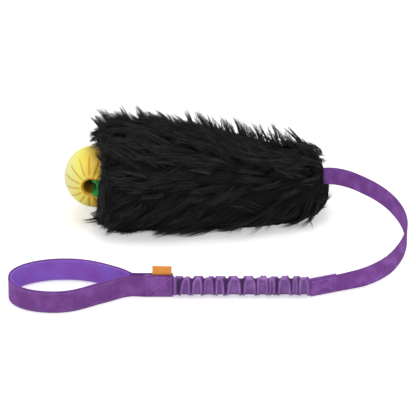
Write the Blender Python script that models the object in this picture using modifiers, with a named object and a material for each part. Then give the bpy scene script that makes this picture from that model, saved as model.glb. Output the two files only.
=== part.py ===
"""Bungee tug toy: a ball on a webbing loop in the mouth of a long-pile sleeve, with a
leash, a gathered bungee and a hand loop of webbing. Metres, +Z up, standing on z = 0.

The sleeve lies along X, behind the bungee, with the ball at its -X end. The leash leaves
its +X end, comes round in front and runs back along -X as bungee and hand loop.
"""

import math

import bmesh
import bpy
from mathutils import Matrix, Vector
from mathutils.geometry import interpolate_bezier

# Fits and cutters
CLEARANCE = 0.0003
CUT_OVERRUN = 0.004

# Where the two lines of the toy lie
SLEEVE_AXIS_Y = 0.0685
BALL_CENTRE_X = -0.083
BUNGEE_AXIS_Y = -0.0955
BUNGEE_REAR_X = 0.0

# Ball
BALL_RADIUS = 0.0325
BORE_RADIUS = 0.0078
BORE_LIP_RADIUS = 0.0021
BORE_TILT = math.radians(6.7)
BORE_TURN = math.radians(7.0)
GROOVE_COUNT = 15
GROOVE_RADIUS = 0.0011
GROOVE_START = math.radians(25.0)
GROOVE_END = math.radians(62.0)
BALL_STEPS = 40
BALL_ARC_POINTS = 18

# Webbing
STRAP_WIDTH = 0.020
STRAP_THICKNESS = 0.0016
STRAP_LEG_REACH = 0.075
STRAP_SEAM_LENGTH = 0.024
STRAP_WRAP_STEP = math.radians(3.0)
LEASH_WIDTH = 0.020
LEASH_THICKNESS = 0.0017
LEASH_FLOOR_GAP = 0.0004
LEASH_ROOT_REACH = 0.0015
HANDLE_WIDTH = 0.025
HANDLE_THICKNESS = 0.0018
HANDLE_LINING_WIDTH = 0.0235
HANDLE_LINING_THICKNESS = 0.0015
WEBBING_EDGE_ROUND = 0.0004

# Sleeve: long pile on a cloth tube, hemmed round the ball and filled behind it
MOUTH_SETBACK = 0.0020
HEM_SETBACK = 0.0003
HEM_LENGTH = 0.0080
HEM_THICKNESS = 0.0034
CLOTH_SETBACK = 0.0025
CLOTH_LENGTH = 0.2235
CLOTH_THICKNESS = 0.0010
CLOTH_END_HALF_WIDTH = 0.0044
CLOTH_END_HALF_HEIGHT = 0.0160
CORE_GAP = 0.0006
BINDING_LENGTH = 0.0090
PILE_UNDER_DEPTH = 0.0095
PILE_SIDE_DEPTH = 0.0215
PILE_TOP_DEPTH = 0.0245
PILE_END_DEPTH = 0.0110
TUFT_RISE = 0.0075
TUFT_SWAY = 0.0035

# Leash: its route from the sleeve to the bungee, at the middle of the webbing
LEASH_ROUTE = [
    (0.1690, 0.0673, 0.0473),
    (0.1830, 0.0624, 0.0465),
    (0.1960, 0.0551, 0.0446),
    (0.2105, 0.0450, 0.0418),
    (0.2232, 0.0328, 0.0383),
    (0.2325, 0.0190, 0.0346),
    (0.2385, 0.0040, 0.0310),
    (0.2407, -0.0120, 0.0270),
    (0.2385, -0.0280, 0.0232),
    (0.2322, -0.0434, 0.0192),
    (0.2220, -0.0585, 0.0156),
    (0.2090, -0.0694, 0.0128),
    (0.1940, -0.0781, 0.0111),
    (0.1805, -0.0832, 0.0105),
]
LEASH_LEANS = [math.radians(a) for a in (0, 0, 2, 5, 8, 11, 13, 14, 14, 12, 9, 6, 3, 1, 0, 0)]
LEASH_STEPS = 3

# Bungee: elastic in a gathered sleeve, with a sewn block at each end
BUNGEE_LENGTH = 0.1385
BUNGEE_FLOOR_GAP = 0.0012
ELASTIC_HALF_HEIGHT = 0.0062
ELASTIC_HALF_THICKNESS = 0.0021
GATHERED_CLOTH = 0.0016
FOLD_RISE = 0.0022
FOLD_SWELL = 0.0026
FOLD_SLANT = 0.0012
SLEEVE_RING_POINTS = 16
TAIL_LENGTH = 0.029
TAIL_CORE_THICKNESS = 0.0026
TAIL_CORE_SETBACK = 0.0010
FRONT_BLOCK_ANGLE = math.radians(20.0)

# Places, heights, thicknesses and slants of the folds, from the rear end of the bungee
FOLD_SHARES = [
    (0.040, 0.98, 0.92, 0.2),
    (0.105, 1.00, 1.00, 0.6),
    (0.175, 0.94, 0.86, -0.4),
    (0.245, 1.02, 0.96, 0.8),
    (0.320, 0.93, 1.04, 0.1),
    (0.395, 1.00, 0.90, -0.7),
    (0.460, 0.96, 1.00, 0.3),
    (0.530, 1.03, 0.94, 0.9),
    (0.605, 0.94, 1.02, -0.2),
    (0.675, 1.00, 0.90, 0.7),
    (0.745, 0.95, 1.04, 0.2),
    (0.820, 1.02, 0.94, -0.5),
    (0.890, 0.94, 0.98, 0.4),
    (0.955, 0.98, 0.88, 0.1),
]

# Hand loop, from its root towards -X
HANDLE_LENGTH = 0.1350
HANDLE_FAR_REACH = 0.0315
HANDLE_NEAR_REACH = 0.0338
LINING_START_SHARE = 0.14

# Ribbon label in the top edge of the rear block
LABEL_WIDTH = 0.0195
LABEL_RISE = 0.0100
LABEL_PLY = 0.0005
LABEL_OPENING = 0.0004
LABEL_END_GAP = 0.0012

# Pile outline: station along the length, then half width, top and underside
PILE_SHARES = [
    (0.000, 0.77, 0.85, 0.085),
    (0.025, 0.93, 0.95, 0.020),
    (0.090, 0.99, 0.99, -0.012),
    (0.200, 1.00, 1.00, -0.012),
    (0.350, 0.965, 0.985, -0.012),
    (0.500, 0.91, 0.945, -0.012),
    (0.650, 0.82, 0.885, -0.012),
    (0.770, 0.72, 0.840, -0.012),
    (0.870, 0.61, 0.815, -0.012),
    (0.940, 0.47, 0.755, 0.015),
    (0.980, 0.31, 0.660, 0.060),
    (1.000, 0.17, 0.590, 0.150),
]
PILE_WIDEST_SHARE = 0.40
PILE_LOWER_SHARE = 0.62

# Tufts: rows from the mouth to the far end, with places along each from its tip
TUFT_ROWS = 9
TUFTS_ROUND = 12
TUFT_STEPS = 4
TUFT_START_SHARE = 0.025
TUFT_REACH_SHARE = 0.955
TUFT_LEVEL_SHARE = 0.28
TUFT_SHARES = [(0.04, 1.00), (0.36, 0.62), (0.70, 0.22), (0.96, 0.00)]
TUFT_DRIFT = 0.8
TUFT_DRIFT_STEP = 2.1
TUFT_SWAY_WAVES = 3
CLOTH_POINTS = 28
CLOTH_STATIONS = 10

PARTS_NAME = "bungee_tug_toy"
COLOURS = {
    "ball": ("F2D21A", 0.55),
    "ball_strap": ("1E8A3A", 0.80),
    "fur_sleeve": ("17181A", 0.95),
    "sleeve_lining": ("2A2B2E", 0.90),
    "mouth_hem": ("202124", 0.90),
    "fleece_core": ("D8D6CF", 0.95),
    "inner_webbing": ("6E3A90", 0.80),
    "end_binding": ("202124", 0.90),
    "leash": ("7B3F9B", 0.80),
    "leash_tail": ("7B3F9B", 0.80),
    "sleeve_tail_front": ("6F378D", 0.85),
    "bungee_sleeve": ("7B3F9B", 0.85),
    "bungee_elastic": ("1B1B1D", 0.85),
    "sleeve_tail_rear": ("6F378D", 0.85),
    "handle_tail_front": ("7B3F9B", 0.80),
    "handle_tail_back": ("7B3F9B", 0.80),
    "label": ("E07820", 0.70),
    "handle_webbing": ("7B3F9B", 0.80),
    "handle_lining": ("7C5BD0", 0.75),
}


def clear_scene():
    for obj in list(bpy.data.objects):
        bpy.data.objects.remove(obj)


def new_collection(name):
    collection = bpy.data.collections.new(name)
    bpy.context.scene.collection.children.link(collection)
    return collection


def linear(channel):
    """One sRGB channel as the linear value that a shader takes."""
    if channel <= 0.04045:
        return channel / 12.92
    return ((channel + 0.055) / 1.055) ** 2.4


def material_for(name):
    code, roughness = COLOURS[name]
    material = bpy.data.materials.new(name)
    material.use_nodes = True
    shader = material.node_tree.nodes["Principled BSDF"]
    channels = [linear(int(code[i : i + 2], 16) / 255) for i in (0, 2, 4)]
    shader.inputs["Base Color"].default_value = (*channels, 1)
    shader.inputs["Roughness"].default_value = roughness
    shader.inputs["Metallic"].default_value = 0
    return material


def finish(obj, name, parent=None):
    """Name the sub-part, give it its material and put it under its joint's empty."""
    obj.name = name
    obj.data.name = name
    obj.data.materials.clear()
    obj.data.materials.append(material_for(name))
    for collection in list(obj.users_collection):
        collection.objects.unlink(obj)
    parts.objects.link(obj)
    if parent:
        bpy.context.view_layer.update()
        obj.parent = parent
        obj.matrix_parent_inverse = parent.matrix_world.inverted()
    return obj


def joint_empty(name, place, parent=None):
    empty = bpy.data.objects.new(name, None)
    empty.location = place
    parts.objects.link(empty)
    if parent:
        bpy.context.view_layer.update()
        empty.parent = parent
        empty.matrix_parent_inverse = parent.matrix_world.inverted()
    bpy.context.view_layer.update()
    return empty


def mesh_object(name, verts, faces):
    mesh = bpy.data.meshes.new(name)
    mesh.from_pydata([tuple(v) for v in verts], [], faces)
    mesh.validate()
    obj = bpy.data.objects.new(name, mesh)
    bpy.context.scene.collection.objects.link(obj)
    return obj


def shade(obj, angle=math.radians(40)):
    obj.data.shade_smooth()
    obj.data.set_sharp_from_angle(angle=angle)
    return obj


def faces_out(obj):
    shape = bmesh.new()
    shape.from_mesh(obj.data)
    bmesh.ops.recalc_face_normals(shape, faces=shape.faces)
    shape.to_mesh(obj.data)
    shape.free()
    return obj


def loft(name, rings, closed_ends=True):
    """A skin over rings of equally many points, with a flat face on each end."""
    count = len(rings[0])
    verts = [point for ring in rings for point in ring]
    faces = []
    for r in range(len(rings) - 1):
        for i in range(count):
            j = (i + 1) % count
            a, b = r * count + i, r * count + j
            faces.append((a, b, b + count, a + count))
    if closed_ends:
        last = (len(rings) - 1) * count
        faces.append(tuple(reversed(range(count))))
        faces.append(tuple(range(last, last + count)))
    return faces_out(mesh_object(name, verts, faces))


def evaluated(obj):
    """Replace an object by the mesh that its curve and modifiers make."""
    bpy.context.view_layer.update()
    source = obj.evaluated_get(bpy.context.evaluated_depsgraph_get())
    mesh = bpy.data.meshes.new_from_object(source)
    shape = bmesh.new()
    shape.from_mesh(mesh)
    bmesh.ops.remove_doubles(shape, verts=shape.verts, dist=WELD)
    bmesh.ops.recalc_face_normals(shape, faces=shape.faces)
    shape.to_mesh(mesh)
    shape.free()
    made = bpy.data.objects.new(obj.name, mesh)
    made.matrix_world = obj.matrix_world
    bpy.context.scene.collection.objects.link(made)
    bpy.data.objects.remove(obj)
    return made


def as_cutter(obj, name):
    obj.name = name
    for collection in list(obj.users_collection):
        collection.objects.unlink(obj)
    cutters.objects.link(obj)
    obj.hide_render = True
    obj.display_type = "WIRE"
    return obj


def boolean(obj, other, operation="DIFFERENCE"):
    modifier = obj.modifiers.new(operation.lower(), "BOOLEAN")
    modifier.operation = operation
    modifier.object = other
    modifier.solver = "EXACT"
    return modifier


def add_bevel(obj, width, segments=2):
    modifier = obj.modifiers.new("edge_round", "BEVEL")
    modifier.width = width
    modifier.segments = segments
    modifier.limit_method = "ANGLE"
    return modifier


def box(name, low, high):
    """A block between two corners, with its size applied to its mesh."""
    shape = bmesh.new()
    bmesh.ops.create_cube(shape, size=1)
    size = Vector(high) - Vector(low)
    middle = (Vector(high) + Vector(low)) / 2
    bmesh.ops.scale(shape, vec=size, verts=shape.verts)
    mesh = bpy.data.meshes.new(name)
    shape.to_mesh(mesh)
    shape.free()
    obj = bpy.data.objects.new(name, mesh)
    obj.location = middle
    bpy.context.scene.collection.objects.link(obj)
    return obj


def turned(name, profile, steps):
    """A profile of (radius, height) points, closed, swept once round Z."""
    count = len(profile)
    mesh = bpy.data.meshes.new(name)
    edges = [(i, (i + 1) % count) for i in range(count)]
    mesh.from_pydata([(r, 0, z) for r, z in profile], edges, [])
    obj = bpy.data.objects.new(name, mesh)
    bpy.context.scene.collection.objects.link(obj)
    screw = obj.modifiers.new("turn", "SCREW")
    screw.angle = math.tau
    screw.steps = steps
    screw.render_steps = steps
    screw.use_merge_vertices = True
    screw.merge_threshold = WELD
    screw.use_smooth_shade = True
    return obj


def strap(name, stations, arc_steps=8):
    """Webbing through stations of (place, way, out, width, thickness, curl).

    `out` is square to the webbing's face, and `curl` is the curvature of its section,
    positive where its edges bend away from `out`.
    """
    rings = []
    for place, way, out, width, thickness, curl in stations:
        side = out.cross(way).normalized()
        top, under = [], []
        for step in range(arc_steps + 1):
            u = width * (step / arc_steps - 0.5)
            turn = u * curl
            if abs(turn) > FLAT_TURN:
                across, drop = math.sin(turn) / curl, (1 - math.cos(turn)) / curl
            else:
                across, drop = u, 0
            middle = place + side * across - out * drop
            normal = out * math.cos(turn) + side * math.sin(turn)
            top.append(middle + normal * thickness / 2)
            under.append(middle - normal * thickness / 2)
        rings.append(top + under[::-1])
    return loft(name, rings)


def smooth_route(points, steps):
    """Points on a smooth curve through the given ones (tuples of any length)."""
    first = [2 * a - b for a, b in zip(points[0], points[1])]
    last = [2 * a - b for a, b in zip(points[-1], points[-2])]
    padded = [first, *points, last]
    found = []
    for k in range(1, len(padded) - 2):
        for step in range(steps):
            t = step / steps
            found.append([
                b + t / 2 * (c - a + t * (2 * a - 5 * b + 4 * c - d + t * (3 * (b - c) + d - a)))
                for a, b, c, d in zip(*padded[k - 1 : k + 3])
            ])
    return found + [list(points[-1])]


WELD = CLEARANCE / 10
FLAT_TURN = 1e-6

# The sleeve, outwards from the ball and along from its mouth
CLOTH_FRONT_RADIUS = BALL_RADIUS + HEM_THICKNESS + CLOTH_THICKNESS + 2 * CLEARANCE
SLEEVE_AXIS_Z = CLOTH_FRONT_RADIUS + PILE_UNDER_DEPTH
PILE_HALF_WIDTH = CLOTH_FRONT_RADIUS + PILE_SIDE_DEPTH
PILE_HEIGHT = SLEEVE_AXIS_Z + CLOTH_FRONT_RADIUS + PILE_TOP_DEPTH
PILE_FRONT_X = BALL_CENTRE_X + MOUTH_SETBACK
CLOTH_FRONT_X = PILE_FRONT_X + CLOTH_SETBACK
CLOTH_END_X = CLOTH_FRONT_X + CLOTH_LENGTH
PILE_END_X = CLOTH_END_X + PILE_END_DEPTH
SEAM_FRONT_X = BALL_CENTRE_X + STRAP_LEG_REACH
SEAM_END_X = SEAM_FRONT_X + STRAP_SEAM_LENGTH
LEASH_PIVOT_X = PILE_END_X + LEASH_ROOT_REACH
BALL_CENTRE = Vector((BALL_CENTRE_X, SLEEVE_AXIS_Y, SLEEVE_AXIS_Z))
LEASH_PIVOT = Vector((LEASH_PIVOT_X, SLEEVE_AXIS_Y, SLEEVE_AXIS_Z))

# The bungee, outwards from its elastic and along from its rear end
VALLEY_HALF_HEIGHT = ELASTIC_HALF_HEIGHT + CLEARANCE + GATHERED_CLOTH
VALLEY_HALF_THICKNESS = ELASTIC_HALF_THICKNESS + CLEARANCE + GATHERED_CLOTH
FOLD_HALF_HEIGHT = VALLEY_HALF_HEIGHT + FOLD_RISE
FOLD_HALF_THICKNESS = VALLEY_HALF_THICKNESS + FOLD_SWELL
BUNGEE_AXIS_Z = FOLD_HALF_HEIGHT + BUNGEE_FLOOR_GAP
REAR_TAIL_CORE_HEIGHT = HANDLE_WIDTH - 2 * TAIL_CORE_SETBACK
BUNGEE_REAR = Vector((BUNGEE_REAR_X, BUNGEE_AXIS_Y, 0))
BUNGEE_FRONT = BUNGEE_REAR + Vector((BUNGEE_LENGTH, 0, 0))
HANDLE_NOSE_RADIUS = HANDLE_THICKNESS + CLEARANCE / 2
HANDLE_PIVOT = BUNGEE_REAR - Vector((TAIL_LENGTH + 2 * CLEARANCE + HANDLE_NOSE_RADIUS, 0, 0))

# The plane of the ball's strap: along the sleeve, towards the front hole, and up across it
PLANE_ALONG = Vector((1, 0, 0))


def strap_plane(tilt):
    """Directions to the front and up across the strap's plane, for its tilt about X."""
    front = Vector((0, -math.cos(tilt), math.sin(tilt)))
    return front, Vector((0, math.sin(tilt), math.cos(tilt)))


def lip_centre():
    """Radius and height, on the bore's axis, of the ring that rounds the bore's mouth."""
    radius = BORE_RADIUS + BORE_LIP_RADIUS
    return radius, math.sqrt((BALL_RADIUS - BORE_LIP_RADIUS) ** 2 - radius**2)


def ball_profile():
    lip_r, lip_z = lip_centre()
    lip_angle = math.atan2(lip_r, lip_z)
    points = []
    for i in range(BALL_ARC_POINTS):
        angle = lip_angle + (math.pi - 2 * lip_angle) * i / (BALL_ARC_POINTS - 1)
        points.append((BALL_RADIUS * math.sin(angle), BALL_RADIUS * math.cos(angle)))
    sweep = math.pi / 2 + lip_angle
    arc = []
    for i in range(1, 6):
        angle = math.pi / 2 - lip_angle + sweep * i / 5
        arc.append((lip_r + BORE_LIP_RADIUS * math.cos(angle),
                    lip_z + BORE_LIP_RADIUS * math.sin(angle)))
    points += [(r, -z) for r, z in arc]
    points += arc[::-1]
    return points


def ball_frame():
    """World matrix of the ball: its bore along local Z, towards the front hole."""
    plane_front, plane_up = strap_plane(BORE_TILT)
    front = plane_front * math.cos(BORE_TURN) - PLANE_ALONG * math.sin(BORE_TURN)
    turn = Matrix((plane_up.cross(front), plane_up, front)).transposed()
    return Matrix.Translation(BALL_CENTRE) @ turn.to_4x4()


def groove_cutter(frame):
    """Round-nosed grooves on both halves of the ball, all in one cutter."""
    curve = bpy.data.curves.new("ball_grooves", "CURVE")
    curve.dimensions = "3D"
    curve.bevel_depth = GROOVE_RADIUS
    curve.bevel_resolution = 1
    curve.use_fill_caps = True
    ends_shares = [0.45, 0.9, 1, 1, 1, 1, 0.9, 0.45]
    for half in (1, -1):
        for n in range(GROOVE_COUNT):
            spin = math.tau * (n + (half < 0) / 2) / GROOVE_COUNT
            spline = curve.splines.new("POLY")
            spline.points.add(len(ends_shares) - 1)
            for i, share in enumerate(ends_shares):
                angle = GROOVE_START + (GROOVE_END - GROOVE_START) * i / (len(ends_shares) - 1)
                r, z = BALL_RADIUS * math.sin(angle), BALL_RADIUS * math.cos(angle) * half
                spline.points[i].co = (r * math.cos(spin), r * math.sin(spin), z, 1)
                spline.points[i].radius = share
    obj = bpy.data.objects.new("ball_grooves", curve)
    bpy.context.scene.collection.objects.link(obj)
    obj.matrix_world = frame
    return as_cutter(evaluated(obj), "ball_grooves")


def make_ball(pivot):
    frame = ball_frame()
    obj = turned("ball", ball_profile(), BALL_STEPS)
    obj.matrix_world = frame
    obj = evaluated(obj)
    boolean(obj, groove_cutter(frame))
    shade(obj)
    return finish(obj, "ball", pivot)


def strap_half(turn, leg_side):
    """Stations from the middle of the bore out of one hole and back to the sewn end.

    `turn` is the hole's angle in the strap's plane, and `leg_side` is 1 for the front
    leg and -1 for the back one. Each station is (along, front, out angle, curl, level):
    the level goes from 0 in the ball's plane to 1 where the leg is upright at its seam.
    """
    lip_r, lip_z = lip_centre()
    lip_angle = math.atan2(lip_r, lip_z)
    stand = CLEARANCE + STRAP_THICKNESS / 2
    wrap = BALL_RADIUS + stand
    bend = BORE_LIP_RADIUS + stand
    inner = BORE_RADIUS - stand

    def placed(lateral, axial, normal_angle, curl):
        """From the bore's own frame, lateral towards the sleeve, to the strap's plane."""
        c, s = math.cos(turn), math.sin(turn)
        lateral_c, lateral_s = s * leg_side, -c * leg_side
        along = axial * c + lateral * lateral_c
        front = axial * s + lateral * lateral_s
        out_axial, out_lateral = math.sin(normal_angle), math.cos(normal_angle)
        out = (out_axial * c + out_lateral * lateral_c, out_axial * s + out_lateral * lateral_s)
        return along, front, math.atan2(out[1], out[0]), curl, 0

    stations = [placed(inner, share * lip_z, math.pi, -1 / inner) for share in (0.3, 0.65)]
    for i in range(9):
        psi = (math.pi / 2 + lip_angle) * i / 8
        lateral = lip_r - bend * math.cos(psi)
        curl = -math.cos(psi) / lateral
        stations.append(placed(lateral, lip_z + bend * math.sin(psi), math.pi - psi, curl))
    hole_end = turn - leg_side * lip_angle
    leave = leg_side * math.acos(wrap / math.hypot(STRAP_LEG_REACH, seam_offset()))
    leave += math.atan2(leg_side * seam_offset(), STRAP_LEG_REACH)
    steps = max(1, round(abs(leave - hole_end) / STRAP_WRAP_STEP))
    for i in range(1, steps + 1):
        angle = hole_end + (leave - hole_end) * i / steps
        stations.append((wrap * math.cos(angle), wrap * math.sin(angle), angle, 1 / wrap, 0))
    for share in (0.25, 0.55, 0.85):
        along = wrap * math.cos(leave) * (1 - share) + STRAP_LEG_REACH * share
        front = wrap * math.sin(leave) * (1 - share) + leg_side * seam_offset() * share
        stations.append((along, front, leave, (1 - share) / wrap, share))
    square = leg_side * math.pi / 2
    for share in (0.12, 0.5, 1):
        along = STRAP_LEG_REACH + STRAP_SEAM_LENGTH * share
        stations.append((along, leg_side * seam_offset(), square, 0, 1))
    return stations


def seam_offset():
    """From the inner webbing's middle to the middle of a strap leg sewn beside it."""
    return LEASH_THICKNESS / 2 + CLEARANCE + STRAP_THICKNESS / 2


def ball_strap_shape(name, grown=0):
    """The loop of webbing through the ball, grown on every side to cut its way out."""
    front_turn = math.pi / 2 + BORE_TURN
    front = strap_half(front_turn, 1)
    back = strap_half(front_turn - math.pi, -1)
    stations = []
    for reverse, half in ((True, front), (False, back)):
        for along, ahead, angle, curl, level in half[::-1] if reverse else half:
            plane_front, plane_up = strap_plane(BORE_TILT * (1 - level))
            place = BALL_CENTRE + PLANE_ALONG * along + plane_front * ahead
            out = PLANE_ALONG * math.cos(angle) + plane_front * math.sin(angle)
            stations.append((place, plane_up.cross(out), out, STRAP_WIDTH + 2 * grown,
                             STRAP_THICKNESS + 2 * grown, curl))
    return strap(name, stations)


def make_ball_strap():
    obj = ball_strap_shape("ball_strap")
    shade(obj)
    return finish(obj, "ball_strap")


def make_mouth_hem():
    """The folded hem, seated on the ball, with room for the strap's two legs."""
    seat = BALL_RADIUS + CLEARANCE
    start = MOUTH_SETBACK + HEM_SETBACK
    outer = BALL_RADIUS + HEM_THICKNESS
    stops = [start + HEM_LENGTH * i / 4 for i in range(5)]
    profile = [(outer, -x) for x in stops]
    profile += [(math.sqrt(seat**2 - x**2), -x) for x in stops[::-1]]
    obj = turned("mouth_hem", profile, CLOTH_POINTS)
    obj.matrix_world = Matrix.Translation(BALL_CENTRE) @ Matrix.Rotation(-math.pi / 2, 4, "Y")
    obj = evaluated(obj)
    boolean(obj, as_cutter(ball_strap_shape("strap_room", CLEARANCE), "strap_room"))
    shade(obj)
    return finish(obj, "mouth_hem")


def cloth_half_sizes(x):
    """Half width and half height of the cloth tube's outside at one place along X."""
    station = CLOTH_STATIONS * min(1, max(0, (x - CLOTH_FRONT_X) / CLOTH_LENGTH))
    before = math.floor(station)
    ease, after = ((1 - math.cos(math.pi * n / CLOTH_STATIONS)) / 2 for n in (before, before + 1))
    ease += (after - ease) * (station - before)
    width = CLOTH_FRONT_RADIUS + (CLOTH_END_HALF_WIDTH - CLOTH_FRONT_RADIUS) * ease
    height = CLOTH_FRONT_RADIUS + (CLOTH_END_HALF_HEIGHT - CLOTH_FRONT_RADIUS) * ease
    return width, height


def cloth_ring(x, inset):
    width, height = cloth_half_sizes(x)
    ring = []
    for i in range(CLOTH_POINTS):
        angle = math.tau * i / CLOTH_POINTS
        ring.append(Vector((x, SLEEVE_AXIS_Y + (width - inset) * math.cos(angle),
                            SLEEVE_AXIS_Z + (height - inset) * math.sin(angle))))
    return ring


def cloth_stops(start, length):
    """Both ends of a stretch of the cloth tube and the tube's own stations between them."""
    stops = [CLOTH_FRONT_X + CLOTH_LENGTH * n / CLOTH_STATIONS for n in range(CLOTH_STATIONS + 1)]
    inside = [x for x in stops if start + CLEARANCE < x < start + length - CLEARANCE]
    return [start, *inside, start + length]


def cloth_solid(name, start, length, inset):
    """A solid that follows the cloth tube, drawn in from its outside by `inset`."""
    return loft(name, [cloth_ring(x, inset) for x in cloth_stops(start, length)])


def webbing_slot(name, start, end):
    """The room that the inner webbing takes through a piece."""
    half_y = LEASH_THICKNESS / 2 + CLEARANCE
    half_z = LEASH_WIDTH / 2 + CLEARANCE
    low = (start, SLEEVE_AXIS_Y - half_y, SLEEVE_AXIS_Z - half_z)
    high = (end, SLEEVE_AXIS_Y + half_y, SLEEVE_AXIS_Z + half_z)
    return as_cutter(box(name, low, high), name)


def pile_outline(station):
    """The pile's width, top and underside shares at one station between the given ones."""
    for before, after in zip(PILE_SHARES, PILE_SHARES[1:]):
        if station <= after[0]:
            break
    along = (station - before[0]) / (after[0] - before[0])
    return [low + (high - low) * along for low, high in zip(before[1:], after[1:])]


def pile_ring(station, row=0, height=TUFT_LEVEL_SHARE, spread=0):
    """One section of the pile: round above its widest level, flatter and squarer below it.

    `height` is how far a tuft stands up there, and `spread` is 1 where its middle stands
    above its sides. Tufts of one row lie between those of the next.
    """
    width, top, underside = pile_outline(station)
    high, low = PILE_HEIGHT * top, PILE_HEIGHT * underside
    middle = low + (high - low) * PILE_WIDEST_SHARE
    phase = math.pi * row + TUFT_DRIFT * math.sin(TUFT_DRIFT_STEP * row)
    ring = []
    for i in range(TUFTS_ROUND * TUFT_STEPS):
        angle = math.tau * i / (TUFTS_ROUND * TUFT_STEPS)
        c, s = math.cos(angle), math.sin(angle)
        squareness = 1 if s > 0 else PILE_LOWER_SHARE
        y = math.copysign(abs(c) ** squareness, c) * PILE_HALF_WIDTH * width
        z = math.copysign(abs(s) ** squareness, s) * (high - middle if s > 0 else middle - low)
        crest = (1 + math.cos(TUFTS_ROUND * angle + phase)) / 2
        lift = height * (1 - spread + spread * crest) - TUFT_LEVEL_SHARE
        proud = 1 + TUFT_RISE * lift * (1 + s) / 2 / math.hypot(y, z)
        x = PILE_FRONT_X + (PILE_END_X - PILE_FRONT_X) * station
        x += TUFT_SWAY * math.sin(TUFT_SWAY_WAVES * angle) * math.sin(math.pi * station)
        ring.append(Vector((x, SLEEVE_AXIS_Y + y * proud, middle + z * proud)))
    return ring


def make_fur_sleeve():
    """The pile as one thick soft skin of pointed tufts, with the cloth tube's room inside it."""
    rings = [pile_ring(0)]
    for row in range(TUFT_ROWS):
        for along, height in TUFT_SHARES:
            station = TUFT_START_SHARE + TUFT_REACH_SHARE * (row + along) / TUFT_ROWS
            rings.append(pile_ring(station, row, height, 1))
    obj = loft("fur_sleeve", [*rings, pile_ring(1)])
    reach = PILE_END_X + CUT_OVERRUN
    under = box("floor", (PILE_FRONT_X - CUT_OVERRUN, SLEEVE_AXIS_Y - PILE_HALF_WIDTH, -CUT_OVERRUN),
                (reach, SLEEVE_AXIS_Y + PILE_HALF_WIDTH, 0))
    boolean(obj, as_cutter(under, "floor"))
    start = PILE_FRONT_X - CUT_OVERRUN
    room = cloth_solid("cloth_room", start, CLOTH_END_X + CLEARANCE - start, -CLEARANCE)
    boolean(obj, as_cutter(room, "cloth_room"))
    boolean(obj, webbing_slot("pile_slot", CLOTH_END_X - CUT_OVERRUN, reach))
    shade(obj, math.radians(60))
    return finish(obj, "fur_sleeve")


def make_sleeve_lining():
    """The pile's backing: an open tube of cloth, given its thickness inwards."""
    stops = cloth_stops(CLOTH_FRONT_X, CLOTH_LENGTH)
    obj = loft("sleeve_lining", [cloth_ring(x, 0) for x in stops], closed_ends=False)
    wall = obj.modifiers.new("cloth", "SOLIDIFY")
    wall.thickness = CLOTH_THICKNESS
    wall.offset = -1
    shade(obj)
    return finish(obj, "sleeve_lining")


def make_fleece_core():
    start = SEAM_END_X + CORE_GAP
    end = CLOTH_END_X - BINDING_LENGTH - CORE_GAP
    obj = cloth_solid("fleece_core", start, end - start, CLOTH_THICKNESS + CLEARANCE)
    boolean(obj, webbing_slot("core_slot", start - CUT_OVERRUN, end + CUT_OVERRUN))
    shade(obj)
    return finish(obj, "fleece_core")


def make_end_binding():
    """Folded cloth that closes the tube's flat end on the webbing."""
    start = CLOTH_END_X - BINDING_LENGTH
    obj = cloth_solid("end_binding", start, BINDING_LENGTH, CLOTH_THICKNESS + CLEARANCE)
    boolean(obj, webbing_slot("binding_slot", start - CUT_OVERRUN, CLOTH_END_X + CUT_OVERRUN))
    shade(obj)
    return finish(obj, "end_binding")


def make_inner_webbing():
    """The webbing from the ball's strap to the sleeve's end, standing on its edge."""
    end = LEASH_PIVOT_X - LEASH_THICKNESS / 2 - CLEARANCE
    half = LEASH_THICKNESS / 2
    obj = box("inner_webbing", (SEAM_FRONT_X, SLEEVE_AXIS_Y - half, SLEEVE_AXIS_Z - LEASH_WIDTH / 2),
              (end, SLEEVE_AXIS_Y + half, SLEEVE_AXIS_Z + LEASH_WIDTH / 2))
    add_bevel(obj, WEBBING_EDGE_ROUND, 1)
    shade(obj)
    return finish(obj, "inner_webbing")


def leash_stations():
    """The leash's sections, its start rounded about the axis that it swings on."""
    way, _, tail = front_block_places()
    end = tail + way * (TAIL_LENGTH / 2 + CLEARANCE)
    end.z = LEASH_WIDTH / 2 + LEASH_FLOOR_GAP
    route = [tuple(LEASH_PIVOT), *LEASH_ROUTE, tuple(end)]
    rows = smooth_route([(*point, lean) for point, lean in zip(route, LEASH_LEANS)], LEASH_STEPS)
    places = [Vector(row[:3]) for row in rows]
    stations = []
    for i, place in enumerate(places):
        before, after = places[max(0, i - 1)], places[min(len(places) - 1, i + 1)]
        way = (after - before).normalized()
        left = Vector((0, 0, 1)).cross(way).normalized()
        up = way.cross(left)
        lean = rows[i][3]
        out = left * math.cos(lean) + up * math.sin(lean)
        stations.append((place, way, out, LEASH_WIDTH, LEASH_THICKNESS, 0))
    start, way, out = stations[0][:3]
    nose = []
    for degrees in (15, 40, 65):
        turn = math.radians(degrees)
        back = start - way * LEASH_THICKNESS / 2 * math.cos(turn)
        nose.append((back, way, out, LEASH_WIDTH, LEASH_THICKNESS * math.sin(turn), 0))
    return nose + stations


def make_leash(pivot):
    obj = strap("leash", leash_stations(), arc_steps=1)
    shade(obj)
    return finish(obj, "leash", pivot)


def block_plate(name, middle, turn, length, height, thickness, bottom, parent):
    """A sewn end of webbing: a flat plate on its edge, round-edged."""
    obj = box(name, (-length / 2, -thickness / 2, 0), (length / 2, thickness / 2, height))
    obj.location = (middle.x, middle.y, bottom + height / 2)
    obj.rotation_euler = (0, 0, turn)
    add_bevel(obj, WEBBING_EDGE_ROUND)
    shade(obj)
    return finish(obj, name, parent)


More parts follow.
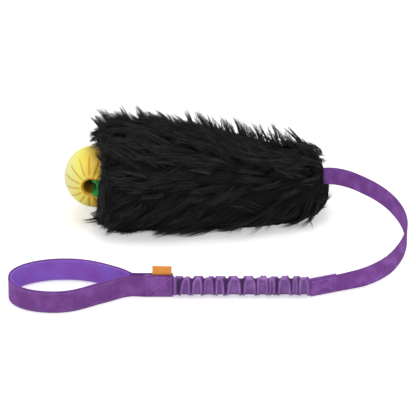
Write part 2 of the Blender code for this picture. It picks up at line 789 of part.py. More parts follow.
def front_block_places():
    """The front block's direction and the middles, in plan, of its two layers."""
    way = Vector((math.cos(FRONT_BLOCK_ANGLE), math.sin(FRONT_BLOCK_ANGLE), 0))
    beside = Vector((-way.y, way.x, 0))
    corner = math.tan(FRONT_BLOCK_ANGLE) * TAIL_CORE_THICKNESS / 2
    core = BUNGEE_FRONT + way * (CLEARANCE + corner + TAIL_LENGTH / 2)
    offset = (TAIL_CORE_THICKNESS + LEASH_THICKNESS) / 2 + CLEARANCE
    return way, core, core - beside * offset


def make_front_block(pivot):
    """The leash's sewn end on the flattened front end of the gathered sleeve."""
    _, core, tail = front_block_places()
    block_plate("sleeve_tail_front", core, FRONT_BLOCK_ANGLE, TAIL_LENGTH, LEASH_WIDTH,
                TAIL_CORE_THICKNESS, 0, pivot)
    block_plate("leash_tail", tail, FRONT_BLOCK_ANGLE, TAIL_LENGTH, LEASH_WIDTH,
                LEASH_THICKNESS, 0, pivot)


def make_rear_block(pivot):
    """The handle's two sewn tails round the flattened rear end of the sleeve."""
    middle = BUNGEE_REAR - Vector((CLEARANCE + TAIL_LENGTH / 2, 0, 0))
    bottom = (HANDLE_WIDTH - REAR_TAIL_CORE_HEIGHT) / 2
    block_plate("sleeve_tail_rear", middle, 0, TAIL_LENGTH, REAR_TAIL_CORE_HEIGHT,
                TAIL_CORE_THICKNESS, bottom, pivot)
    offset = (TAIL_CORE_THICKNESS + HANDLE_THICKNESS) / 2 + CLEARANCE
    for name, side in (("handle_tail_front", -1), ("handle_tail_back", 1)):
        block_plate(name, middle + Vector((0, side * offset, 0)), 0, TAIL_LENGTH, HANDLE_WIDTH,
                    HANDLE_THICKNESS, 0, pivot)


def oval(x, z_middle, half_height, half_thickness, slant):
    """One ring of the gathered sleeve, leaning along X by `slant` at its top."""
    ring = []
    for i in range(SLEEVE_RING_POINTS):
        angle = math.tau * (i + 0.5) / SLEEVE_RING_POINTS
        y = half_thickness * math.cos(angle)
        lift = math.sin(angle)
        ring.append(Vector((x + slant * lift, BUNGEE_AXIS_Y + y, z_middle + half_height * lift)))
    return ring


def bungee_rings():
    """Rings over every fold and valley: a fold is two wide rings close together."""
    rings = [oval(BUNGEE_REAR_X, BUNGEE_AXIS_Z, VALLEY_HALF_HEIGHT, VALLEY_HALF_THICKNESS, 0)]
    places = [row[0] for row in FOLD_SHARES]
    for n, (place, height, thickness, slant) in enumerate(FOLD_SHARES):
        before = places[n - 1] if n else 0
        after = places[n + 1] if n + 1 < len(places) else 1
        lean = FOLD_SLANT * slant
        crown = (FOLD_HALF_HEIGHT * height, FOLD_HALF_THICKNESS * thickness, lean)
        flank = [(a + b) / 2 for a, b in zip(crown, (VALLEY_HALF_HEIGHT, VALLEY_HALF_THICKNESS, lean))]
        for gap, sizes in ((-0.30, flank), (-0.15, crown), (0.15, crown), (0.30, flank)):
            span = place - before if gap < 0 else after - place
            x = BUNGEE_REAR_X + BUNGEE_LENGTH * (place + gap * span)
            rings.append(oval(x, BUNGEE_AXIS_Z, *sizes))
        x = BUNGEE_REAR_X + BUNGEE_LENGTH * (place + after) / 2
        if n + 1 < len(places):
            rings.append(oval(x, BUNGEE_AXIS_Z, VALLEY_HALF_HEIGHT, VALLEY_HALF_THICKNESS, 0))
    end = BUNGEE_REAR_X + BUNGEE_LENGTH
    rings.append(oval(end, BUNGEE_AXIS_Z, VALLEY_HALF_HEIGHT, VALLEY_HALF_THICKNESS, 0))
    return rings


def elastic_solid(name, grown, overrun):
    sizes = (ELASTIC_HALF_HEIGHT + grown, ELASTIC_HALF_THICKNESS + grown, 0)
    stations = (BUNGEE_REAR_X - overrun, BUNGEE_REAR_X + BUNGEE_LENGTH + overrun)
    return loft(name, [oval(x, BUNGEE_AXIS_Z, *sizes) for x in stations])


def make_bungee(pivot):
    """The gathered sleeve with its bore, and the elastic that fills the bore."""
    sleeve = loft("bungee_sleeve", bungee_rings())
    bore = elastic_solid("elastic_room", CLEARANCE, CUT_OVERRUN)
    boolean(sleeve, as_cutter(bore, "elastic_room"))
    shade(sleeve, math.radians(70))
    finish(sleeve, "bungee_sleeve", pivot)
    elastic = elastic_solid("bungee_elastic", 0, 0)
    shade(elastic)
    finish(elastic, "bungee_elastic", pivot)


def handle_outline(inset=0):
    """The hand loop in plan, from its near root round its tip to its far root.

    Corners are (along, across, handle direction in degrees, handle length), as shares of
    the loop's length and of its reach to the near and far side.
    """
    corner_shares = [
        (0.000, -0.030, 180, 0.16),
        (0.290, -0.440, 205, 0.13),
        (0.660, -1.000, 180, 0.17),
        (1.000, -0.060, 90, 0.16),
        (0.590, 1.000, 0, 0.19),
        (0.190, 0.470, -28, 0.12),
        (0.000, 0.030, 0, 0.10),
    ]
    corners = []
    for along, across, way, reach in corner_shares:
        y = across * (HANDLE_FAR_REACH if across > 0 else HANDLE_NEAR_REACH)
        place = Vector((HANDLE_PIVOT.x - along * HANDLE_LENGTH, HANDLE_PIVOT.y + y, 0))
        turn = math.radians(way)
        corners.append((place, Vector((math.cos(turn), math.sin(turn), 0)) * reach * HANDLE_LENGTH))
    points = []
    for (a, way_a), (b, way_b) in zip(corners, corners[1:]):
        points += interpolate_bezier(a, a + way_a, b - way_b, b, 13)[:-1]
    points.append(corners[-1][0])
    return inset_line(points, inset)


def inset_line(points, inset):
    """The line moved to its right-hand side, which is the inside of the loop."""
    moved = []
    for i, point in enumerate(points):
        before, after = points[max(0, i - 1)], points[min(len(points) - 1, i + 1)]
        way = (after - before).normalized()
        moved.append(point + Vector((way.y, -way.x, 0)) * inset)
    return moved


def ribbon(name, points, width, thickness, middle_z):
    """Webbing on its edge along a plan line, as an extruded curve given thickness."""
    curve = bpy.data.curves.new(name, "CURVE")
    curve.dimensions = "2D"
    curve.fill_mode = "NONE"
    curve.extrude = width / 2
    spline = curve.splines.new("POLY")
    spline.points.add(len(points) - 1)
    for target, point in zip(spline.points, points):
        target.co = (point.x, point.y, 0, 1)
    obj = bpy.data.objects.new(name, curve)
    obj.location = (0, 0, middle_z)
    bpy.context.scene.collection.objects.link(obj)
    wall = obj.modifiers.new("thickness", "SOLIDIFY")
    wall.thickness = thickness
    wall.offset = 0
    return evaluated(obj)


def make_handle(pivot):
    """The hand loop, its ends sewn into a round nose, and its inner lining."""
    loop = ribbon("handle_webbing", handle_outline(), HANDLE_WIDTH, HANDLE_THICKNESS, HANDLE_WIDTH / 2)
    shape = bmesh.new()
    bmesh.ops.create_cone(shape, cap_ends=True, segments=24, radius1=HANDLE_NOSE_RADIUS,
                          radius2=HANDLE_NOSE_RADIUS, depth=HANDLE_WIDTH)
    mesh = bpy.data.meshes.new("handle_nose")
    shape.to_mesh(mesh)
    shape.free()
    nose = bpy.data.objects.new("handle_nose", mesh)
    nose.location = (HANDLE_PIVOT.x, HANDLE_PIVOT.y, HANDLE_WIDTH / 2)
    boolean(loop, as_cutter(nose, "handle_nose"), "UNION")
    shade(loop)
    finish(loop, "handle_webbing", pivot)
    inset = (HANDLE_THICKNESS + HANDLE_LINING_THICKNESS) / 2 + CLEARANCE
    inner = [p for p in handle_outline(inset) if p.x < HANDLE_PIVOT.x - HANDLE_LENGTH * LINING_START_SHARE]
    lining = ribbon("handle_lining", inner, HANDLE_LINING_WIDTH, HANDLE_LINING_THICKNESS, HANDLE_WIDTH / 2)
    shade(lining)
    finish(lining, "handle_lining", pivot)


def make_label(pivot):
    """A ribbon folded over at its top, standing in the block's top edge."""
    half = LABEL_OPENING / 2
    outer = half + LABEL_PLY
    top = REAR_TAIL_CORE_HEIGHT / 2 + HANDLE_WIDTH / 2 + CLEARANCE
    rise = HANDLE_WIDTH + LABEL_RISE - top
    outline = [(-half, 0), (-half, rise - outer)]
    outline += [(half * math.cos(a), rise - outer + half * math.sin(a)) for a in LABEL_ARC[::-1]]
    outline += [(half, rise - outer), (half, 0), (outer, 0), (outer, rise - outer)]
    outline += [(outer * math.cos(a), rise - outer + outer * math.sin(a)) for a in LABEL_ARC]
    outline += [(-outer, rise - outer), (-outer, 0)]
    end = BUNGEE_REAR_X - CLEARANCE - LABEL_END_GAP
    rings = []
    for x in (end - LABEL_WIDTH, end):
        rings.append([Vector((x, BUNGEE_AXIS_Y + y, top + z)) for y, z in outline])
    obj = loft("label", rings)
    shade(obj)
    return finish(obj, "label", pivot)


LABEL_ARC = [math.pi * i / 6 for i in range(1, 6)]


clear_scene()
parts = new_collection(PARTS_NAME)
cutters = new_collection("cutters")

ball_pivot = joint_empty("ball_pivot", BALL_CENTRE)
leash_pivot = joint_empty("leash_pivot", LEASH_PIVOT)
stretch_pivot = joint_empty("stretch_pivot", BUNGEE_REAR, leash_pivot)
handle_pivot = joint_empty("handle_pivot", HANDLE_PIVOT, stretch_pivot)

make_ball(ball_pivot)
make_ball_strap()
make_fur_sleeve()
make_sleeve_lining()
make_mouth_hem()
make_fleece_core()
make_end_binding()
make_inner_webbing()
make_leash(leash_pivot)
make_front_block(leash_pivot)
make_bungee(leash_pivot)
make_rear_block(stretch_pivot)
make_label(stretch_pivot)
make_handle(handle_pivot)
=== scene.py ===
"""Looks of the bungee tug toy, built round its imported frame.

A grooved rubber ball sits in the mouth of a long-pile sleeve. Webbing comes out of the
sleeve's far end, turns round in front and goes on as a gathered bungee and a hand loop.
Metres, +Z up. A pattern's scale is worked out from a real size in millimetres.
"""

import math

import bmesh
import bpy
import numpy as np
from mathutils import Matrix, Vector
from mathutils.geometry import interpolate_bezier


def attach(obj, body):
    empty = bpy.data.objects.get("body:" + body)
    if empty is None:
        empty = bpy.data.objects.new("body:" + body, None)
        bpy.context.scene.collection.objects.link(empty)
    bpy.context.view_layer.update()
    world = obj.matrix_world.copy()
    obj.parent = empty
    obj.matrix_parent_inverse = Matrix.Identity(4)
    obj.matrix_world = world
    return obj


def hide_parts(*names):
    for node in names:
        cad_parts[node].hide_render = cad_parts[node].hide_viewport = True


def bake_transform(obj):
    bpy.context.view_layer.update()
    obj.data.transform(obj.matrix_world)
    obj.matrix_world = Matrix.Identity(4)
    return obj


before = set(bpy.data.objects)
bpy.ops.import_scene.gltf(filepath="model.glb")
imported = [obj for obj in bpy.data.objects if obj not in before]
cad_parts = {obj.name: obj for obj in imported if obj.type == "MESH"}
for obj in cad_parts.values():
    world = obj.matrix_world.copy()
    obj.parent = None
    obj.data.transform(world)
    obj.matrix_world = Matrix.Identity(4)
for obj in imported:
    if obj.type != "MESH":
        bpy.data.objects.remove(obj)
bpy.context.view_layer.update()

MM = 0.001

# Camera, from the photograph's angle and the widths of the webbing
VIEW_CENTRE = Vector((0.0355, 0.0668, 0.0091))
VIEW_DISTANCE = 4.0
VIEW_ELEVATION = math.radians(30)
VIEW_WIDTH = 0.4389

# Places that the frame shares with its source
BALL_CENTRE = np.array((-0.083, 0.0685, 0.047))
BALL_RADIUS = 32.5 * MM
BORE_RADIUS = 7.8 * MM
BORE_LIP = 2.1 * MM
BORE_TILT = math.radians(6.7)
BORE_TURN = math.radians(7.0)
GROOVES = 15
SLEEVE_Y, SLEEVE_Z = 0.0685, 0.047
CLOTH_FRONT_X, CLOTH_END_X = -0.0785, 0.145
PILE_FRONT_X, PILE_END_X = -0.081, 0.156
LEASH_PIVOT = (0.1575, 0.0685, 0.047)
BUNGEE_Y = -0.0955
BUNGEE_LENGTH = 138.5 * MM
TAIL_LENGTH = 29 * MM
FIT = 0.3 * MM

# Webbing
LEASH_WIDTH, LEASH_THICKNESS = 20 * MM, 1.7 * MM
HANDLE_WIDTH, HANDLE_THICKNESS = 25 * MM, 1.8 * MM
LINING_WIDTH, LINING_THICKNESS = 23.5 * MM, 1.5 * MM
STRAP_WIDTH, STRAP_THICKNESS = 20 * MM, 1.6 * MM
RIB_PITCH = 2.0 * MM
RIB_RISE = 0.12 * MM
FACE_POINTS = 11
RIB_FADE = 0.08  # share of the half width over which the ribs run out at an edge
FLAT_CURL = 0.1  # curvature under which a section counts as flat


def hex_colour(code):
    """An sRGB hex colour as the linear values that a shader takes."""
    found = []
    for i in (0, 2, 4):
        c = int(code[i : i + 2], 16) / 255
        found.append(c / 12.92 if c <= 0.04045 else ((c + 0.055) / 1.055) ** 2.4)
    return (*found, 1)


def feed(tree, socket, value):
    """Link a socket to what is given, a node by its first live output, or set a plain value."""
    if isinstance(value, bpy.types.Node):
        value = next(output for output in value.outputs if output.enabled)
    if isinstance(value, bpy.types.NodeSocket):
        tree.links.new(value, socket)
    else:
        socket.default_value = value


def add(tree, kind, inputs=(), **settings):
    """Add a node with its settings and links: inputs by name or number, or else in order."""
    made = tree.nodes.new(kind)
    for key, value in settings.items():
        setattr(made, key, value)
    for key, value in (inputs if isinstance(inputs, dict) else dict(enumerate(inputs))).items():
        feed(tree, made.inputs[key], value)
    return made


def unit(v):
    """Rows of vectors at length one."""
    return v / np.linalg.norm(v, axis=-1, keepdims=True)


def smoothed(t):
    """A share from 0 to 1, eased at both ends."""
    return t * t * (3 - 2 * t)


def eased(value, low, high):
    """A smooth step from 0 at low to 1 at high."""
    return smoothed(np.clip((value - low) / (high - low), 0, 1))


def powered(value, power):
    """A power of the size of a value, with its sign kept."""
    return np.copysign(np.abs(value) ** power, value)


def points_at(x, y, z):
    """Places from their coordinates, which may be single numbers."""
    return np.stack(np.broadcast_arrays(x, y, z), axis=-1)


def along_line(points):
    """Distance from the start of a line to each of its points."""
    return np.concatenate([[0], np.cumsum(np.linalg.norm(np.diff(points, axis=0), axis=1))])


def even_line(points, step):
    """Rows (of any width, place first) respaced along their line at about one step."""
    points = np.array(points, float)
    reach = along_line(points[:, :3])
    stops = np.linspace(0, reach[-1], max(2, round(reach[-1] / step) + 1))
    return np.stack([np.interp(stops, reach, column) for column in points.T], axis=1)


def smooth_line(points, steps):
    """Rows on a smooth curve through the given rows."""
    rows = [np.array(p, float) for p in points]
    rows = [2 * rows[0] - rows[1], *rows, 2 * rows[-1] - rows[-2]]
    found = []
    for a, b, c, d in zip(rows, rows[1:], rows[2:], rows[3:]):
        for t in np.arange(steps) / steps:
            found.append(b + t / 2 * (c - a + t * (2 * a - 5 * b + 4 * c - d + t * (3 * (b - c) + d - a))))
    return np.array(found + [rows[-2]])


def in_scene(name, data):
    """A new object of the scene that holds a mesh, a lamp's data or a camera's."""
    made = bpy.data.objects.new(name, data)
    bpy.context.scene.collection.objects.link(made)
    return made


def skin(name, rings, material, ends="capped", uv=None):
    """A closed mesh over rings of points: a flat cap on each end, or the ends joined.

    `uv` holds (along, across) in metres for each point, with one more in each ring than
    there are points, so that a pattern runs on across the ring's own seam.
    """
    rings = np.array(rings, float)
    rows, count = rings.shape[:2]
    index = np.arange(rows * count).reshape(rows, count)
    low, high = (index, np.roll(index, -1, axis=0)) if ends == "joined" else (index[:-1], index[1:])
    faces = np.stack([low, np.roll(low, -1, 1), np.roll(high, -1, 1), high], axis=-1)
    faces = faces.reshape(-1, 4).tolist()
    if ends == "capped":
        faces += [index[0][::-1].tolist(), index[-1].tolist()]
    mesh = bpy.data.meshes.new(name)
    mesh.from_pydata(rings.reshape(-1, 3).tolist(), [], faces)
    if uv is not None:
        uv = np.array(uv, float)
        if ends == "joined":
            uv = np.concatenate([uv, uv[:1]])
        sides = np.stack([uv[:-1, :-1], uv[:-1, 1:], uv[1:, 1:], uv[1:, :-1]], axis=2).reshape(-1, 2)
        if ends == "capped":
            sides = np.concatenate([sides, uv[0, :-1][::-1], uv[-1, :-1]])
        mesh.uv_layers.new(name="weave").data.foreach_set("uv", sides.astype(np.float32).ravel())
    shape = bmesh.new()
    shape.from_mesh(mesh)
    bmesh.ops.recalc_face_normals(shape, faces=shape.faces)
    shape.to_mesh(mesh)
    shape.free()
    mesh.shade_smooth()
    mesh.materials.append(material)
    return in_scene(name, mesh)


def hold(piece, name, values):
    """Keep a number for each point of a piece, for its material to read."""
    held = piece.data.attributes.new(name, "FLOAT", "POINT")
    held.data.foreach_set("value", values.astype(np.float32).ravel())


def strap_rings(places, outs, width, thickness, curls=None, rise=RIB_RISE):
    """Sections of woven webbing through places, square to `outs`, and their pattern's UV.

    `curls` is the curvature of its section, positive where the edges bend away from `outs`.
    """
    places, outs = np.array(places, float), unit(np.array(outs, float))
    sides = unit(np.cross(outs, np.gradient(places, axis=0)))
    along = along_line(places)
    edge = thickness / width
    face = np.linspace(-1 + edge, 1 - edge, FACE_POINTS)
    turn = np.radians([60, 20, -20, -60])
    u = np.concatenate([face, 1 - edge + edge * np.cos(turn), face[::-1], edge - 1 - edge * np.cos(turn)])
    n = np.concatenate([np.ones(FACE_POINTS), np.sin(turn), -np.ones(FACE_POINTS), -np.sin(turn)])
    ribs = rise * np.cos(math.tau * along / RIB_PITCH)[:, None] * np.clip((1 - abs(u)) / RIB_FADE, 0, 1)
    across = np.broadcast_to(u * width / 2, (len(places), len(u)))
    lift = n * (thickness / 2 + ribs)
    curls = np.zeros(len(places)) if curls is None else np.array(curls, float)
    flat = (abs(curls) < FLAT_CURL)[:, None]
    bent = np.where(flat, FLAT_CURL, curls[:, None])
    angle = np.where(flat, 0, across * bent)
    drop = np.where(flat, 0, (1 - np.cos(across * bent)) / bent)
    across = np.where(flat, across, np.sin(across * bent) / bent)
    side, out = sides[:, None], outs[:, None]
    normal = out * np.cos(angle)[..., None] + side * np.sin(angle)[..., None]
    rings = places[:, None] + side * across[..., None] - out * drop[..., None] + normal * lift[..., None]
    v = np.append(u, u[0]) * width / 2
    return rings, np.stack(np.broadcast_arrays(along[:, None], v[None]), axis=-1)


def strap(name, places, outs, width, thickness, material, **more):
    """A closed piece of woven webbing along places."""
    rings, uv = strap_rings(places, outs, width, thickness, **more)
    return skin(name, rings, material, uv=uv)


def dressed(piece, body, *nodes, slot=None):
    """Put a finished piece on its body, in place of its CAD nodes."""
    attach(piece, body)
    return stands_for(piece, *nodes, slot=slot)


def stands_for(piece, *nodes, slot=None):
    """Let a piece take the place of CAD nodes, which it hides; its slot is not used."""
    if nodes:
        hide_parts(*nodes)
    return piece


# The nodes that materials and pile are mostly built from
MATH, VECTOR_MATH, SPLIT = "ShaderNodeMath", "ShaderNodeVectorMath", "ShaderNodeSeparateXYZ"
MIX, NOISE, RANGE = "ShaderNodeMix", "ShaderNodeTexNoise", "ShaderNodeMapRange"

# Pattern sizes. A noise scale is 1 over the size of what it draws, in metres.
YARN_PITCH = 0.55 * MM
RIM_INNER, RIM_OUTER = 1.3 * MM, 0.2 * MM  # where webbing darkens, from its edge inwards
FUZZ_SCALE = 1600.0  # loose fibre ends on webbing, 0.6 mm
WORN_SCALE = 85.0  # pale, rubbed patches on webbing, 12 mm
NAP_SCALE, CLOUD_SCALE = 1900.0, 45.0  # brushed nap, 0.5 mm, and how it lies, 22 mm
GRAIN_SCALE, BLOOM_SCALE = 2600.0, 60.0  # a mould's grain, 0.4 mm, and uneven colour, 17 mm
# The ball's painted highlight, its plain middle and its painted shade towards the fur, as places along X
RUBBER_HIGHLIGHT_X, RUBBER_MIDDLE_X, RUBBER_SHADE_X = -0.116, -0.098, -0.086  # its shades, places along X
THREAD_SCALE = 2200.0  # twist of a thread, 0.45 mm
FLOAT_PITCH, PICK_PITCH = 0.4 * MM, 0.7 * MM  # a ribbon's warp floats and its picks
STRAND_SCALES = (60.0, 900.0, 1.0)  # underfur's strands, 17 mm along its lie and 1.1 mm across
LOCK_SCALES = (40.0, 240.0, 1.0)  # its locks, 25 mm along and 4.2 mm across


def new_finish(name, roughness, specular=0.5, ior=1.5, sheen=0.0):
    """A material with its Principled shader; sheen is the soft rim of a napped cloth."""
    material = bpy.data.materials.new(name)
    material.use_nodes = True
    shader = material.node_tree.nodes["Principled BSDF"]
    for key, value in (("Roughness", roughness), ("Specular IOR Level", specular), ("IOR", ior),
                       ("Sheen Weight", sheen), ("Sheen Roughness", 0.5)):
        shader.inputs[key].default_value = value
    return material, material.node_tree, shader


def finished(material, colour, rough=None, height=None, depth=0.0, strength=1.0):
    """Give a finish its colour and, where they vary, its roughness and its relief."""
    tree = material.node_tree
    shader = tree.nodes["Principled BSDF"]
    feed(tree, shader.inputs["Base Color"], colour)
    if rough is not None:
        feed(tree, shader.inputs["Roughness"], rough)
    if height is not None:
        feed(tree, shader.inputs["Normal"], add(
            tree, "ShaderNodeBump", {"Height": height, "Distance": depth, "Strength": strength}))
    return material


def layered(tree, colour, *layers):
    """A colour with others laid over it, each given as (how much of it shows, its hex code)."""
    for share, code in layers:
        colour = add(tree, MIX, {0: share, 6: colour, 7: hex_colour(code)}, data_type="RGBA")
    return colour


def polyester_webbing(name, dark, middle, light, half_width):
    """Dyed polyester webbing: close cross ribs over fine warp yarns, duller at its edges.

    Ribs are 2 mm apart and yarns 0.55 mm, as on a soft collar webbing. Where a piece is
    gathered, its attribute says how deep in a fold each place lies, and painted shade darkens it there.
    """
    roughness = 0.72
    material, tree, shader = new_finish(name, roughness, specular=0.3, ior=1.57, sheen=0.2)
    shader.inputs["Sheen Tint"].default_value = hex_colour(light)
    along, across, _ = add(tree, SPLIT, [add(tree, "ShaderNodeUVMap", uv_map="weave")]).outputs
    rib_turn = add(tree, MATH, (along, math.tau / RIB_PITCH, math.pi / 2), operation="MULTIPLY_ADD")
    rib = add(tree, MATH, [rib_turn], operation="SINE")
    half_turn = add(tree, MATH, (along, math.pi / RIB_PITCH), operation="MULTIPLY")
    half_rib = add(tree, MATH, [half_turn], operation="SINE")
    yarn_turn = add(tree, MATH, (across, math.tau / YARN_PITCH), operation="MULTIPLY")
    yarn = add(tree, MATH, [yarn_turn], operation="SINE")
    woven = add(tree, MATH, (yarn, half_rib), operation="MULTIPLY")
    ribbed = add(tree, MATH, (rib, 0.5, 1.0), operation="MULTIPLY_ADD")
    height = add(tree, MATH, (woven, 0.5, ribbed), operation="MULTIPLY_ADD")
    space = add(tree, "ShaderNodeTexCoord").outputs["Object"]
    fuzz = add(tree, NOISE, {"Vector": space, "Scale": FUZZ_SCALE, "Detail": 3.0})
    rubbed = add(tree, NOISE, {"Vector": space, "Scale": WORN_SCALE, "Detail": 3.0})
    half_fuzz = add(tree, MATH, (fuzz, 0.5), operation="MULTIPLY")
    shown = add(tree, MATH, (height, 0.32, half_fuzz), operation="MULTIPLY_ADD")
    worn = add(tree, RANGE, {0: rubbed, 1: 0.42, 2: 0.68, 3: 0.0, 4: 0.55})
    off_middle = add(tree, MATH, [across], operation="ABSOLUTE")
    rim = add(tree, RANGE, {0: off_middle, 1: half_width - RIM_INNER, 2: half_width - RIM_OUTER, 3: 0.0, 4: 0.55})
    # Painted shade: an attribute of gathered webbing mixes dark purple into its folds
    painted_fold_shade = add(tree, "ShaderNodeAttribute", attribute_name="painted_fold_shade").outputs["Fac"]
    colour = layered(tree, hex_colour(dark), (shown, middle), (worn, light), (rim, dark), (painted_fold_shade, "3A1A52"))
    rough = add(tree, MATH, (fuzz, 0.2, roughness - 0.1), operation="MULTIPLY_ADD")
    relief = add(tree, MATH, (fuzz, 0.5, height), operation="MULTIPLY_ADD")
    return finished(material, colour, rough, relief, depth=0.12 * MM, strength=0.8)


def brushed_knit(name, dark, light):
    """Soft knit lining, brushed: matt, with a pale nap and broad cloudy shading."""
    material, tree, shader = new_finish(name, 0.85, specular=0.2, ior=1.53, sheen=0.5)
    shader.inputs["Sheen Tint"].default_value = hex_colour(light)
    space = add(tree, "ShaderNodeTexCoord").outputs["Object"]
    cloud = add(tree, NOISE, {"Vector": space, "Scale": CLOUD_SCALE, "Detail": 2.0})
    nap = add(tree, NOISE, {"Vector": space, "Scale": NAP_SCALE, "Detail": 2.0})
    clouded = add(tree, MATH, (cloud, 1.6, -0.5), operation="MULTIPLY_ADD")
    shown = add(tree, MATH, (nap, 0.35, clouded), operation="MULTIPLY_ADD")
    colour = layered(tree, hex_colour(dark), (shown, light))
    return finished(material, colour, height=nap, depth=0.15 * MM, strength=0.6)


def moulded_rubber(name):
    """Soft moulded natural rubber: satin, a little light inside it, painted shade in its grooves and bore.

    It has a painted highlight where it stands out of the sleeve's mouth, and painted shade, a deeper amber, towards
    the fur.
    """
    material, tree, shader = new_finish(name, 0.42, specular=0.45, ior=1.52)
    for key, value in (("Weight", 0.15), ("Radius", (1.0, 0.55, 0.12)), ("Scale", 3 * MM)):
        shader.inputs["Subsurface " + key].default_value = value
    painted_recess_shade = add(tree, "ShaderNodeAttribute", attribute_name="painted_recess_shade").outputs["Fac"]
    space = add(tree, "ShaderNodeTexCoord").outputs["Object"]
    cloud = add(tree, NOISE, {"Vector": space, "Scale": BLOOM_SCALE, "Detail": 3.0})
    grain = add(tree, NOISE, {"Vector": space, "Scale": GRAIN_SCALE, "Detail": 2.0})
    inward = add(tree, SPLIT, [space])
    # Painted highlight on the side out of the sleeve's mouth, and painted shade in amber towards the fur
    pale = add(tree, RANGE, {0: inward, 1: RUBBER_MIDDLE_X, 2: RUBBER_HIGHLIGHT_X, 3: 0.0, 4: 1.0})
    painted_amber_shade = add(tree, RANGE, {0: inward, 1: RUBBER_MIDDLE_X, 2: RUBBER_SHADE_X, 3: 0.0, 4: 0.5})
    # Painted shade: golden in the grooves, dark brown deep in the bore
    groove_shade = add(tree, RANGE, {0: painted_recess_shade, 1: 0.0, 2: 0.5, 3: 0.0, 4: 1.0})
    inside = add(tree, RANGE, {0: painted_recess_shade, 1: 0.72, 2: 1.0, 3: 0.0, 4: 1.0})
    colour = layered(tree, hex_colour("FFF03A"), (cloud, "FFF884"), (pale, "FFFDBE"), (painted_amber_shade, "F0A812"),
                     (groove_shade, "DCA01C"), (inside, "341805"))
    rough = add(tree, MATH, (grain, 0.2, 0.32), operation="MULTIPLY_ADD")
    return finished(material, colour, rough, grain, depth=0.05 * MM, strength=0.5)


def pile_fibre(name, root, tip, bright):
    """Dyed acrylic pile: near-black fibre with a soft gloss, each hair a little its own; the paler hairs, picked at
    random, are pale enough to serve as painted highlights.
    """
    material, tree, _ = new_finish(name, 0.42, specular=0.22)
    tint = add(tree, "ShaderNodeAttribute", attribute_name="tint").outputs["Fac"]
    reach = add(tree, "ShaderNodeAttribute", attribute_name="reach").outputs["Fac"]
    # Paler hairs at random, their grey light enough to act as painted highlights on the locks
    pale = add(tree, MATH, (tint, 4.0), operation="POWER")
    colour = layered(tree, hex_colour(root), (reach, tip), (pale, bright))
    return finished(material, colour, add(tree, MATH, (tint, 0.18, 0.36), operation="MULTIPLY_ADD"))


def combed_underfur(name, dark, light):
    """Dense short acrylic under the long pile: black, matt, in fine strands that lie with it.

    Real strands are 0.05 mm thick; they are drawn about 1 mm apart, with finer ones between,
    so that they show.
    """
    material, tree, _ = new_finish(name, 0.6, specular=0.12)
    lie = add(tree, "ShaderNodeUVMap", uv_map="weave")
    combed = add(tree, "ShaderNodeMapping", {0: lie, 3: STRAND_SCALES})
    strands = add(tree, NOISE, {"Vector": combed, "Scale": 1.0, "Detail": 3.0})
    broad = add(tree, "ShaderNodeMapping", {0: lie, 3: LOCK_SCALES})
    locks = add(tree, NOISE, {"Vector": broad, "Scale": 1.0, "Detail": 2.0})
    height = add(tree, MATH, (strands, 0.6, locks), operation="MULTIPLY_ADD")
    shown = add(tree, RANGE, {0: height, 1: 0.62, 2: 1.05, 3: 0.0, 4: 1.0})
    return finished(material, layered(tree, hex_colour(dark), (shown, light)), height=height, depth=0.9 * MM)


def knitted_backing(name, dark, light, scale=900.0, sheen=0.1):
    """Plain knitted cloth, matt, with a fine nap of about 1 mm unless its scale says more."""
    material, tree, _ = new_finish(name, 0.9, specular=0.2, ior=1.53, sheen=sheen)
    space = add(tree, "ShaderNodeTexCoord").outputs["Object"]
    loops = add(tree, NOISE, {"Vector": space, "Scale": scale, "Detail": 3.0})
    colour = layered(tree, hex_colour(dark), (loops, light))
    return finished(material, colour, height=loops, depth=0.3 * MM, strength=0.8)


def satin_ribbon(name):
    """Woven satin ribbon: fine floats along its length give a soft, even gloss."""
    material, tree, shader = new_finish(name, 0.5, ior=1.57, sheen=0.15)
    shader.inputs["Anisotropic"].default_value = 0.4
    along, across, _ = add(tree, SPLIT, [add(tree, "ShaderNodeUVMap", uv_map="weave")]).outputs
    float_turn = add(tree, MATH, (across, math.tau / FLOAT_PITCH), operation="MULTIPLY")
    floats = add(tree, MATH, [float_turn], operation="SINE")
    pick_turn = add(tree, MATH, (along, math.tau / PICK_PITCH), operation="MULTIPLY")
    picks = add(tree, MATH, [pick_turn], operation="SINE")
    crossed = add(tree, MATH, (floats, picks), operation="MULTIPLY")
    height = add(tree, MATH, (crossed, 0.4, 0.5), operation="MULTIPLY_ADD")
    colour = layered(tree, hex_colour("FA7E12"), (height, "FFB650"))
    return finished(material, colour, height=height, depth=0.05 * MM, strength=0.6)


def spun_thread(name, dark, light):
    """Bonded polyester thread, twisted: small bright stitches with a soft gloss."""
    material, tree, _ = new_finish(name, 0.45, specular=0.45, ior=1.57)
    space = add(tree, "ShaderNodeTexCoord").outputs["Object"]
    twist = add(tree, NOISE, {"Vector": space, "Scale": THREAD_SCALE, "Detail": 1.0})
    colour = layered(tree, hex_colour(dark), (twist, light))
    return finished(material, colour, height=twist, depth=0.08 * MM, strength=0.7)


